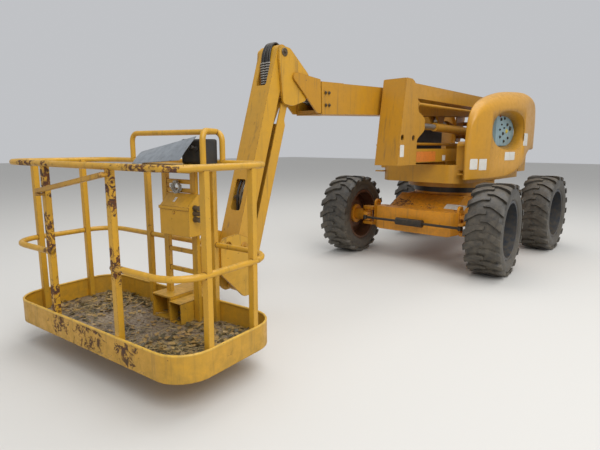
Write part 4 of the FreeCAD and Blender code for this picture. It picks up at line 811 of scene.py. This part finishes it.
def finished_hood(name, shell, hole=None):
    """Gives a skin its thickness and its opening, and makes it a piece."""
    bmesh.ops.solidify(shell, geom=shell.faces[:], thickness=0.018)
    data = bpy.data.meshes.new(name)
    shell.to_mesh(data)
    shell.free()
    made = placed(name, data)
    if hole is not None:
        cut = made.modifiers.new("port", "BOOLEAN")
        cut.operation = "DIFFERENCE"
        cut.solver = "EXACT"
        cut.object = hole
        bpy.context.view_layer.update()
        solved = made.evaluated_get(bpy.context.evaluated_depsgraph_get())
        with_hole = bpy.data.meshes.new_from_object(solved)
        made.modifiers.clear()
        made.data = with_hole
    made.data.shade_smooth()
    made.data.materials.clear()
    made.data.materials.append(bpy.data.materials["hood_ochre"])
    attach(made, BODY_OF[name.replace("_shell", "")])
    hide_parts(name.replace("_shell", ""))
    return made


skin_tree = BVHTree.FromBMesh(left_skin)
cutter_mesh = bmesh.new()
funnel = bmesh.new()
PORT_STEPS = 72
mouth, throat, outer_ring, inner_ring = [], [], [], []
for index in range(PORT_STEPS):
    angle = math.tau * index / PORT_STEPS
    x, z = oval(PORT_HALF_X, PORT_HALF_Z, angle)
    landed, slope, _, _ = skin_tree.ray_cast(Vector((PORT_X + x, 1.2, PORT_Z + z)),
                                             Vector((0, -1, 0)))
    mouth.append(funnel.verts.new(landed + slope * 0.0015))
    x, z = oval(INNER_HALF_X, INNER_HALF_Z, angle)
    throat.append(funnel.verts.new((INNER_X + x, INNER_Y, PORT_Z + z)))
    x, z = oval(PORT_HALF_X - 0.004, PORT_HALF_Z - 0.004, angle)
    outer_ring.append(cutter_mesh.verts.new((PORT_X + x, 0.95, PORT_Z + z)))
    inner_ring.append(cutter_mesh.verts.new((PORT_X + x, 0.60, PORT_Z + z)))
mouth_edges = [funnel.edges.new((mouth[i], mouth[(i + 1) % PORT_STEPS])) for i in range(PORT_STEPS)]
throat_edges = [funnel.edges.new((throat[i], throat[(i + 1) % PORT_STEPS]))
                for i in range(PORT_STEPS)]
bmesh.ops.bridge_loops(funnel, edges=mouth_edges + throat_edges)
lip_edges = [funnel.edges.get((mouth[i], mouth[(i + 1) % PORT_STEPS])) for i in range(PORT_STEPS)]
lip = bmesh.ops.extrude_edge_only(funnel, edges=lip_edges)["geom"]
lip_verts = [item for item in lip if isinstance(item, bmesh.types.BMVert)]
for vert in lip_verts:
    across = Vector((vert.co.x - PORT_X, 0, vert.co.z - PORT_Z)).normalized()
    spot = vert.co + across * 0.016
    landed, slope, _, _ = skin_tree.ray_cast(Vector((spot.x, 1.2, spot.z)), Vector((0, -1, 0)))
    vert.co = landed - slope * 0.002
lip_edges = [edge for edge in funnel.edges if len(edge.link_faces) == 2
             and all(vert in mouth for vert in edge.verts)]
eased(funnel, lip_edges, 0.013, 4)
bmesh.ops.recalc_face_normals(funnel, faces=funnel.faces[:])
bmesh.ops.solidify(funnel, geom=funnel.faces[:], thickness=0.006)
cutter_edges = [cutter_mesh.edges.new((ring[i], ring[(i + 1) % PORT_STEPS]))
                for ring in (outer_ring, inner_ring)
                for i in range(PORT_STEPS)]
bmesh.ops.bridge_loops(cutter_mesh, edges=cutter_edges)
bmesh.ops.holes_fill(cutter_mesh, edges=cutter_mesh.edges[:], sides=PORT_STEPS + 1)
bmesh.ops.recalc_face_normals(cutter_mesh, faces=cutter_mesh.faces[:])
cutter_data = bpy.data.meshes.new("port_cutter")
cutter_mesh.to_mesh(cutter_data)
cutter_mesh.free()
cutter = placed("port_cutter", cutter_data)
hood_left = finished_hood("hood_left_shell", left_skin, cutter)
hood_right = finished_hood("hood_right_shell", hood_shell(-1))
bpy.data.objects.remove(cutter)
piece("port_funnel", funnel, "hood_ochre", BODY_OF["hood_left"], True)
print("hoods", len(hood_left.data.polygons), len(hood_right.data.polygons), "faces")

# %% [markdown]
# The basket is welded from round and square tube. The round rails are curves with a bevel: each
# corner is two Bezier points whose handles meet at it, which bends the tube as a pipe bender does.
# Posts and frames are rounded boxes. The rails leave a gap at the front for the way in.

# %% Bent tube maker
def bent_tube(target, corners, bend, closed=False, radius=0.019):
    """Adds a round tube along corner points of the basket, each rounded by the bend."""
    line = round_line("bend", radius, 4, 6)
    corners = [Vector(corner) for corner in corners]
    knots = []
    for index, corner in enumerate(corners):
        if not closed and index in (0, len(corners) - 1):
            knots.append((corner, corner, corner))
            continue
        back = (corners[index - 1] - corner).normalized() * bend
        onward = (corners[(index + 1) % len(corners)] - corner).normalized() * bend
        knots.append((corner + back, corner + back * 1.2, corner + back * 0.45))
        knots.append((corner + onward, corner + onward * 0.45, corner + onward * 1.2))
    route = line.splines.new("BEZIER")
    route.bezier_points.add(len(knots) - 1)
    for knot, (at, left, after) in zip(route.bezier_points, knots):
        knot.co, knot.handle_left, knot.handle_right = at, left, after
    route.use_cyclic_u = closed
    tube = placed("bend", line)
    flat = bpy.data.meshes.new_from_object(tube)
    bpy.data.objects.remove(tube)
    made = bmesh.new()
    made.from_mesh(flat)
    bpy.data.meshes.remove(flat)
    bmesh.ops.remove_doubles(made, verts=made.verts[:], dist=0.0001)
    bmesh.ops.recalc_face_normals(made, faces=made.faces[:])
    for face in made.faces:
        face.smooth = True
    joined(target, made, BASKET)


def beam(target, low, high, rounding=0.004):
    """Adds a box between two corners of the basket, its edges rounded."""
    low, high = Vector(low), Vector(high)
    made = rounded_box(high - low, rounding)
    joined(target, made, BASKET @ Matrix.Translation((low + high) / 2))


def plan(half_v, half_u, level):
    return [(half_v, half_u, level), (-half_v, half_u, level), (-half_v, -half_u, level),
            (half_v, -half_u, level)]


# %% Basket rails
TOP, MIDDLE, RAIL = 1.110, 0.555, 0.019
HALF_V, HALF_U, BEND = 0.4, 0.9, 0.2
HOOP, HOOP_V, LEG_V = 1.31, -0.381, -0.165
rails = bmesh.new()
bent_tube(rails, plan(HALF_V - RAIL, HALF_U - RAIL, TOP), BEND - RAIL, True)
mid_v, mid_u = 0.3805, 0.8805
bent_tube(rails, [(mid_v, 0.34, MIDDLE), *plan(mid_v, mid_u, MIDDLE), (mid_v, -0.31, MIDDLE)], BEND)
bent_tube(rails, [(HOOP_V, -0.50, TOP), (HOOP_V, -0.50, HOOP),
                  (HOOP_V, 0.45, HOOP), (HOOP_V, 0.45, TOP)], 0.06)
bent_tube(rails, [(LEG_V, 0.50, TOP - 0.03), (LEG_V, 0.50, HOOP), (HOOP_V, 0.40, HOOP)], 0.06)
bent_tube(rails, [(LEG_V, 0.50, TOP - 0.03), (HOOP_V, 0.50, TOP - 0.03)], 0.02, radius=0.014)
# v, u of each post's middle
POSTS = [(-0.18, -0.874), (0.18, -0.874), (-0.18, 0.874), (0.18, 0.874),
         (0.374, 0.36), (0.374, -0.33), (-0.374, 0.36), (-0.374, -0.33)]
for v, u in POSTS:
    beam(rails, (v - 0.02, u - 0.02, 0.008), (v + 0.02, u + 0.02, TOP))
railing = piece("basket_railing", rails, "basket_yellow", BODY_OF["basket_rails"])
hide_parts("basket_rails")
print("railing", len(railing.data.polygons), "faces")

# %% [markdown]
# The bar across the way in hangs from a pin on one post and leans down to a rest on the other.
# It has lost most of its paint.

# %% Gate bar
gate = bmesh.new()
bar = rounded_box((0.028, 0.735, 0.028), 0.004)
lean = Matrix.Rotation(math.atan2(0.125, 0.71), 4, "X")
joined(gate, bar, BASKET @ Matrix.Translation((0.419, 0.005, 1.005)) @ lean)
joined(gate, turned([(-0.02, 0.0), (-0.02, 0.011), (0.052, 0.011), (0.056, 0.008), (0.056, 0.0)]),
       BASKET @ facing((0.384, 0.36, 1.066), (1, 0, 0)))
beam(gate, (0.376, -0.345, 0.914), (0.440, -0.315, 0.929), 0.003)
made = piece("gate_bar_worn", gate, "gate_yellow", BODY_OF["basket_rails"])
print("gate bar", len(made.data.polygons), "faces")

# %% Console frame
frame_mesh = bmesh.new()
# low corner and high corner as v, u, z
FRAME_BARS = [
    ((-0.315, -0.055, 0.008), (-0.285, -0.005, 1.10)),
    ((-0.315, 0.235, 0.008), (-0.285, 0.285, 1.10)),
    ((-0.311, -0.01, 0.345), (-0.289, 0.24, 0.375)),
    ((-0.311, -0.01, 0.485), (-0.289, 0.24, 0.515)),
    ((-0.311, -0.01, 0.905), (-0.289, 0.24, 0.935)),
    ((-0.311, -0.01, 0.965), (-0.289, 0.24, 0.995)),
    ((-0.390, -0.06, 1.096), (-0.135, 0.43, 1.104)),
    ((-0.139, -0.06, 1.050), (-0.135, 0.43, 1.104)),
]
for low, high in FRAME_BARS:
    beam(frame_mesh, low, high, 0.003)
frame_made = piece("console_frame", frame_mesh, "basket_yellow", BODY_OF["console"])
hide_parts("console")
print("console frame", len(FRAME_BARS), "bars")

# %% [markdown]
# The yellow case under the controls is folded sheet with a sloping lid. It is a cube whose top
# front edge gets a wide bevel, and whose other edges get narrow ones.

# %% Document case
CASE_LOW, CASE_HIGH = (-0.284, 0.045, 0.63), (-0.180, 0.335, 0.905)
case = bmesh.new()
bmesh.ops.create_cube(case, size=1.0)
size = Vector(CASE_HIGH) - Vector(CASE_LOW)
bmesh.ops.scale(case, vec=size, verts=case.verts[:])
bmesh.ops.translate(case, verts=case.verts[:], vec=(Vector(CASE_LOW) + Vector(CASE_HIGH)) / 2)
slope = [edge for edge in case.edges
         if all(vert.co.x > CASE_HIGH[0] - 0.001 and vert.co.z > CASE_HIGH[2] - 0.001
                for vert in edge.verts)]
eased(case, slope, 0.082, 1)
eased(case, case.edges[:], 0.004)
shifted(case, BASKET)
lip = rounded_box((0.006, 0.30, 0.022), 0.002)
joined(case, lip, BASKET @ Matrix.Translation((-0.178, 0.19, 0.815)))
lock = turned([(0.0, 0.0), (0.0, 0.010), (0.006, 0.009), (0.008, 0.0)], 16)
joined(case, lock, BASKET @ facing((-0.180, 0.19, 0.785), (1, 0, 0)))
piece("document_case", case, "basket_yellow", BODY_OF["console"])

# the small pale mark on its slope, left blank
mark = rounded_box((0.002, 0.022, 0.038), 0.0008)
tilt = Matrix.Rotation(math.radians(-45), 4, "Y")
place = BASKET @ Matrix.Translation((-0.2200, 0.16, 0.8660)) @ tilt
shifted(mark, place)
piece("case_mark", mark, "plate_white", BODY_OF["console"])
print("case", [round(v, 3) for v in size])

# %% Spare cable coiled under the shelf
coil = bmesh.new()
# radius and level of each turn of the cable
COIL = [(0.058, 0.945), (0.050, 0.950), (0.064, 0.940), (0.044, 0.947)]
for turn, (radius, level) in enumerate(COIL):
    ring = [(-0.262 - 0.006 * turn, 0.115 + radius * math.cos(step * math.pi / 2 + 0.8),
             level + radius * math.sin(step * math.pi / 2 + 0.8)) for step in range(4)]
    bent_tube(coil, ring, radius * 0.95, True, 0.0045)
piece("cable_coil", coil, "cable_white", BODY_OF["console"])
print("coil", len(COIL), "turns")

# %% Cable glands and plugs beside the case
plugs = bmesh.new()
for z, long in ((0.79, 0.055), (0.755, 0.075), (0.715, 0.05)):
    place = BASKET @ facing((-0.23, 0.335, z + 0.03), (0, 1, 0))
    plug = turned([(0.0, 0.0), (0.0, 0.019), (0.012, 0.019), (0.013, 0.015),
                   (long - 0.012, 0.015), (long - 0.010, 0.018), (long, 0.016), (long, 0.0)], 16)
    joined(plugs, plug, place)
piece("case_plugs", plugs, "bolt_steel", BODY_OF["console"])
print("plugs", 3)

# %% [markdown]
# The control box is black plastic. A grey lid stands open and leans back on it, so that rain runs
# off. The lid is a thin sheet with a slight crown, spread between its four corners.

# %% Control box and its lid
box_made = bmesh.new()
beam(box_made, (-0.355, 0.25, 1.104), (-0.21, 0.435, 1.262), 0.012)
for u in (0.285, 0.34, 0.395):
    stick = turned([(0.0, 0.0), (0.0, 0.016), (0.008, 0.016), (0.012, 0.006), (0.030, 0.005),
                    (0.032, 0.010), (0.050, 0.009), (0.052, 0.0)], 14)
    joined(box_made, stick, BASKET @ facing((-0.211, u, 1.20), (1, 0, 0.3)))
piece("control_housing", box_made, "console_black", BODY_OF["console"])
lid_mesh = bmesh.new()
# corners as v, u, z: front left, front right, back right, back left
LID = [Vector(corner) for corner in ((-0.060, -0.060, 1.105), (-0.060, 0.410, 1.137),
                                     (-0.190, 0.420, 1.278), (-0.190, -0.130, 1.180))]
bmesh.ops.create_grid(lid_mesh, x_segments=10, y_segments=6, size=0.5)
for vert in lid_mesh.verts:
    across, deep = vert.co.x + 0.5, vert.co.y + 0.5
    front_edge, back_edge = LID[0].lerp(LID[1], across), LID[3].lerp(LID[2], across)
    crown = Vector((0, 0, 0.006 * math.sin(math.pi * deep)))
    vert.co = BASKET @ (front_edge.lerp(back_edge, deep) + crown)
thickened(lid_mesh, 0.004)
piece("control_lid", lid_mesh, "lid_grey", BODY_OF["console"])
print("lid", round((LID[1] - LID[0]).length, 3))

# %% Foot switch housing, open towards the front
switch = bmesh.new()
V0, V1, U0, U1, Z0, Z1, SHEET = -0.394, -0.168, 0.11, 0.23, 0.009, 0.159, 0.004
for low, high in (((V0, U0, Z0), (V1, U0 + SHEET, Z1)), ((V0, U1 - SHEET, Z0), (V1, U1, Z1)),
                  ((V0, U0, Z1 - SHEET), (V1, U1, Z1)), ((V0, U0, Z0), (V1, U1, Z0 + SHEET)),
                  ((V0, U0, Z0), (V0 + SHEET, U1, Z1))):
    beam(switch, low, high, 0.001)
piece("foot_switch_housing", switch, "basket_yellow", BODY_OF["console"])
pedal = bmesh.new()
tread = rounded_box((0.12, 0.075, 0.012), 0.004)
joined(pedal, tread, BASKET @ Matrix.Translation((-0.28, 0.17, 0.055))
       @ Matrix.Rotation(math.radians(-14), 4, "Y"))
beam(pedal, (-0.36, 0.13, 0.014), (-0.22, 0.21, 0.034), 0.004)
made = piece("foot_pedal", pedal, "console_black", BODY_OF["console"])
print("foot pedal", len(made.data.polygons), "faces")

# %% Bearers under the floor
bearers = bmesh.new()
for side in (1, -1):
    beam(bearers, (-0.39, side * 0.38 - 0.03, -0.05), (0.34, side * 0.38 + 0.03, -0.001), 0.003)
piece("floor_bearers", bearers, "basket_yellow", BODY_OF["basket_floor"])
print("bearers", 2)

# %% [markdown]
# The toe board's top edge is rolled over a wire. Its lighter yellow is a painted highlight, which
# makes it the brightest line of the basket. The floor is expanded metal: a lattice of small leaning
# bars.

# %% Toe board edge and floor mesh
edge_roll = bmesh.new()
bent_tube(edge_roll, plan(HALF_V - 0.005, HALF_U - 0.005, 0.153), BEND - 0.005, True, 0.0075)
# the roll's lighter yellow is a painted highlight
piece("toe_roll", edge_roll, "edge_yellow", BODY_OF["basket_floor"])
soil = bmesh.new()
bmesh.ops.create_grid(soil, x_segments=40, y_segments=80, size=0.5)
for vert in soil.verts:
    vert.co = Vector((vert.co.x * 2 * (HALF_V - 0.006), vert.co.y * 2 * (HALF_U - 0.006), 0.0085))
    over_v, over_u = max(abs(vert.co.x) - HALF_V + BEND, 0), max(abs(vert.co.y) - HALF_U + BEND, 0)
    reach = math.hypot(over_v, over_u)
    if over_v > 0 and over_u > 0 and reach > BEND - 0.006:
        vert.co.x -= math.copysign(over_v * (1 - (BEND - 0.006) / reach), vert.co.x)
        vert.co.y -= math.copysign(over_u * (1 - (BEND - 0.006) / reach), vert.co.y)
shifted(soil, BASKET)
piece("floor_soil", soil, "floor_soil", BODY_OF["basket_floor"])
lattice = bmesh.new()
PITCH_U, PITCH_V = 0.042, 0.028
for row in range(-13, 14):
    for column in range(-20, 21):
        v, u = row * PITCH_V, (column + 0.5 * (row % 2)) * PITCH_U
        corner_v, corner_u = abs(v) - (HALF_V - BEND), abs(u) - (HALF_U - BEND)
        if corner_v > 0 and corner_u > 0 and math.hypot(corner_v, corner_u) > BEND - 0.035:
            continue
        if abs(v) > HALF_V - 0.03 or abs(u) > HALF_U - 0.03:
            continue
        stud = bmesh.new()
        bmesh.ops.create_cone(stud, cap_ends=True, segments=4, radius1=0.013, radius2=0.007,
                              depth=0.003)
        bmesh.ops.scale(stud, vec=(0.42, 1.45, 1.0), verts=stud.verts[:])
        joined(lattice, stud, BASKET @ Matrix.Translation((v, u, 0.0093))
               @ Matrix.Rotation(0.5 * (-1) ** row, 4, "Z"))
piece("floor_lattice", lattice, "floor_plate", BODY_OF["basket_floor"])
print("toe roll and lattice")

# %% [markdown]
# Dead grass and leaves have blown into the basket. A few hundred bent blades and curled leaves,
# each of a few faces, lie thickest in the corners. The random numbers start from a fixed seed.

# %% Straw and leaves
rng = random.Random(7)
# v, u, spread along v and u, blades
HEAPS = [(-0.05, -0.60, 0.16, 0.13, 170), (-0.30, -0.70, 0.06, 0.12, 110),
         (0.20, 0.48, 0.12, 0.16, 260), (-0.10, 0.62, 0.16, 0.14, 190),
         (0.0, 0.0, 0.26, 0.45, 300), (0.28, 0.15, 0.07, 0.28, 130),
         (-0.33, -0.35, 0.04, 0.25, 110), (-0.25, 0.45, 0.08, 0.18, 90)]


def blade(long, wide, curl):
    made = bmesh.new()
    bmesh.ops.create_grid(made, x_segments=3, y_segments=1, size=0.5)
    for vert in made.verts:
        along = vert.co.x
        vert.co = Vector((along * long, vert.co.y * wide * (1.0 - 1.2 * along * along),
                          curl * along * along))
    return made


def heap(name, leafy, share, material):
    litter = bmesh.new()
    for v0, u0, spread_v, spread_u, count in HEAPS:
        for _ in range(int(count * share)):
            v = max(-0.375, min(0.375, rng.gauss(v0, spread_v)))
            u = max(-0.87, min(0.87, rng.gauss(u0, spread_u)))
            corner_v, corner_u = abs(v) - (HALF_V - BEND), abs(u) - (HALF_U - BEND)
            if corner_v > 0 and corner_u > 0 and math.hypot(corner_v, corner_u) > 0.165:
                continue
            long = rng.uniform(0.02, 0.045) if leafy else rng.uniform(0.04, 0.13)
            wide = rng.uniform(0.014, 0.028) if leafy else rng.uniform(0.0018, 0.0036)
            level = 0.0125 + abs(rng.gauss(0.0, 0.010))
            turn = Matrix.Rotation(rng.uniform(0, math.tau), 4, "Z")
            lean = Matrix.Rotation(rng.gauss(0.0, 0.16), 4, "Y")
            lean = lean @ Matrix.Rotation(rng.gauss(0.0, 0.3), 4, "X")
            curl = rng.uniform(-0.012, 0.012)
            joined(litter, blade(long, wide, curl), BASKET @ Matrix.Translation((v, u, level))
                   @ turn @ lean)
    thickened(litter, 0.0006)
    return piece(name, litter, material, BODY_OF["basket_floor"])


straw = heap("straw", False, 0.8, "straw_tan")
leaves = heap("leaves", True, 0.45, "leaf_brown")
dark_leaves = heap("dark_leaves", True, 0.3, "leaf_dark")
print("litter", sum(len(made.data.polygons) for made in (straw, leaves, dark_leaves)), "faces")

# %% [markdown]
# Stickers are thin, and follow the skin they are stuck to. Each starts as a small grid in front of
# its spot, and every point of it is dropped onto the surface behind. All of them are blank.

# %% Blank plates
FRAME_WIDE, FRAME_HIGH = 600, 450
FOCAL = FRAME_WIDE * lens.lens / lens.sensor_width
STICKER_CORNER, STICKER_LIFT, STICKER_THICK = 0.008, 0.0020, 0.0012
SKINS = {}


def skin(node):
    """A tree of a solid's faces, to drop points on."""
    if node not in SKINS:
        shell = bmesh.new()
        shown = {"hood_left": hood_left, "upright": upright_shown}.get(node, NODES[node])
        shell.from_mesh(shown.data)
        SKINS[node] = BVHTree.FromBMesh(shell)
        shell.free()
    return SKINS[node]


def sight(across, down):
    """From the camera through a place of the 600 by 450 frame."""
    aim = ahead + right * ((across - FRAME_WIDE / 2) / FOCAL)
    aim = aim - up * ((down - FRAME_HIGH / 2) / FOCAL)
    return aim.normalized()


def sticker(name, node, left, top, right_edge, bottom, look="plate_white"):
    """A sticker that fills a rectangle of the frame, lying on a solid's skin."""
    tree = skin(node)
    across, down = (left + right_edge) / 2, (top + bottom) / 2
    spot, normal, _, _ = tree.ray_cast(CAMERA_AT, sight(across, down))
    normal = normal if normal.dot(CAMERA_AT - spot) > 0 else -normal
    sides = [tree.ray_cast(CAMERA_AT, sight(*pick))[0] or spot
             for pick in ((left, down), (right_edge, down), (across, top), (across, bottom))]
    size = ((sides[1] - sides[0]).length, (sides[3] - sides[2]).length)
    across = Vector((0, 0, 1)).cross(normal).normalized()
    rise = normal.cross(across)
    made = bmesh.new()
    bmesh.ops.create_grid(made, x_segments=7, y_segments=7, size=0.5)
    corners = [vert for vert in made.verts if len(vert.link_edges) == 2]
    bmesh.ops.scale(made, vec=(size[0], size[1], 1.0), verts=made.verts[:])
    eased(made, corners, STICKER_CORNER, 3, "VERTICES")
    for vert in made.verts:
        # one corner stands up a little, as on old stickers, so that flat plate shades cleanly
        curl = 0.0008 * (vert.co.x / size[0] + 0.7 * vert.co.y / size[1])
        start = spot + across * vert.co.x + rise * vert.co.y + normal * 0.05
        landed, slope, _, _ = tree.ray_cast(start, -normal)
        if landed and slope.dot(normal) < 0:
            slope = -slope
        vert.co = start - normal * 0.05
        if landed:
            vert.co = landed + slope * (STICKER_LIFT + curl)
    piece(name, thickened(made, STICKER_THICK), look, BODY_OF[node])


# name, solid, then left, top, right and bottom in the frame, and a finish if it isn't white
STICKERS = [
    ("plate_hood_front", "hood_left", 470.0, 159.0, 477.5, 169.5),
    ("plate_hood_second", "hood_left", 479.0, 159.0, 486.5, 170.0),
    ("plate_hood_wide", "hood_left", 505.0, 152.0, 514.7, 160.0),
    ("plate_hood_rear", "hood_left", 524.0, 134.0, 527.6, 145.0),
    ("plate_upright", "upright", 399.8, 145.0, 403.7, 157.0),
    ("plate_arm", "lower_arm", 442.0, 152.6, 445.0, 163.0),
    ("patch_arm", "lower_arm", 416.5, 151.5, 435.5, 161.5, "patch_orange"),
    ("plate_deck", "chassis_frame", 451.0, 204.0, 460.0, 210.5),
]
for row in STICKERS:
    sticker(*row)
print("plates", len(STICKERS))

# %% [markdown]
# Behind the round opening in the hood is the ground control panel: a pale board with black knobs,
# a red stop button and guarded switches. Each control is a small turned shape on its collar.

# %% Panel controls
PANEL_FACE = 0.6495


def knob(radius, tall=0.014):
    return turned([(0.0, 0.0), (0.0, radius * 1.25), (0.003, radius * 1.25), (0.004, radius),
                   (tall, radius * 0.86), (tall + 0.002, radius * 0.7), (tall + 0.002, 0.0)], 18)


# finish, then across, down and radius of each control, as seen in the frame
CONTROLS = {
    "black": ("console_black", [
        (501.0, 119.5, 0.018), (504.5, 118.6, 0.014), (507.0, 124.8, 0.018),
        (509.6, 128.6, 0.026), (502.6, 133.6, 0.019), (499.6, 137.0, 0.015),
        (503.2, 141.2, 0.016), (499.6, 129.6, 0.012), (503.8, 128.0, 0.011),
        (507.2, 138.0, 0.015), (501.4, 124.6, 0.010)]),
    "red": ("plastic_red", [(505.0, 113.8, 0.026), (500.0, 116.2, 0.010)]),
    "yellow": ("plastic_yellow", [(506.2, 131.3, 0.022)]),
}
for kind, (look, knobs) in CONTROLS.items():
    controls = bmesh.new()
    for across, down, radius in knobs:
        line = sight(across, down)
        spot = CAMERA_AT + line * ((PANEL_FACE - CAMERA_AT.y) / line.y)
        joined(controls, knob(radius), facing(spot, (0, 1, 0)))
    piece("controls_" + kind, controls, look, BODY_OF["control_panel"])
print("controls", sum(len(knobs) for _, knobs in CONTROLS.values()))

# %% [markdown]
# The stage is a plain pale floor under soft studio light. The world gives most of the light, and
# two large lamps above give the soft shade under the basket and the turret.

# %% Floor, world and lamps
GROUND_HALF = 40.0
mesh = bpy.data.meshes.new("floor")
sheet = bmesh.new()
bmesh.ops.create_grid(sheet, x_segments=1, y_segments=1, size=GROUND_HALF)
sheet.to_mesh(mesh)
sheet.free()
ground = placed("floor", mesh)
pale = bpy.data.materials.new("pale_floor")
pale.use_nodes = True
feed(pale.node_tree, pale.node_tree.nodes["Principled BSDF"],
     {"Base Color": colour(205, 203, 198), "Roughness": 0.9})
ground.data.materials.append(pale)

world = bpy.data.worlds.new("studio")
world.use_nodes = True
bpy.context.scene.world = world
sky = world.node_tree.nodes["Background"]
sky.inputs["Color"].default_value = colour(238, 240, 244)
sky.inputs["Strength"].default_value = 0.62


def lamp(name, place, aim, size, power):
    data = bpy.data.lights.new(name, "AREA")
    data.size = size
    data.energy = power
    thing = placed(name, data)
    thing.location = place
    thing.rotation_mode = "QUATERNION"
    thing.rotation_quaternion = (Vector(aim) - Vector(place)).to_track_quat("-Z", "Y")


lamp("key", (6.0, 7.0, 8.0), (1.5, 0.0, 0.8), 6.0, 640.0)
lamp("top", (0.5, 0.0, 9.0), (1.5, 0.0, 0.0), 8.0, 520.0)
scene = bpy.context.scene
scene.view_settings.view_transform = "Standard"
print("lamps", len(bpy.data.lights))
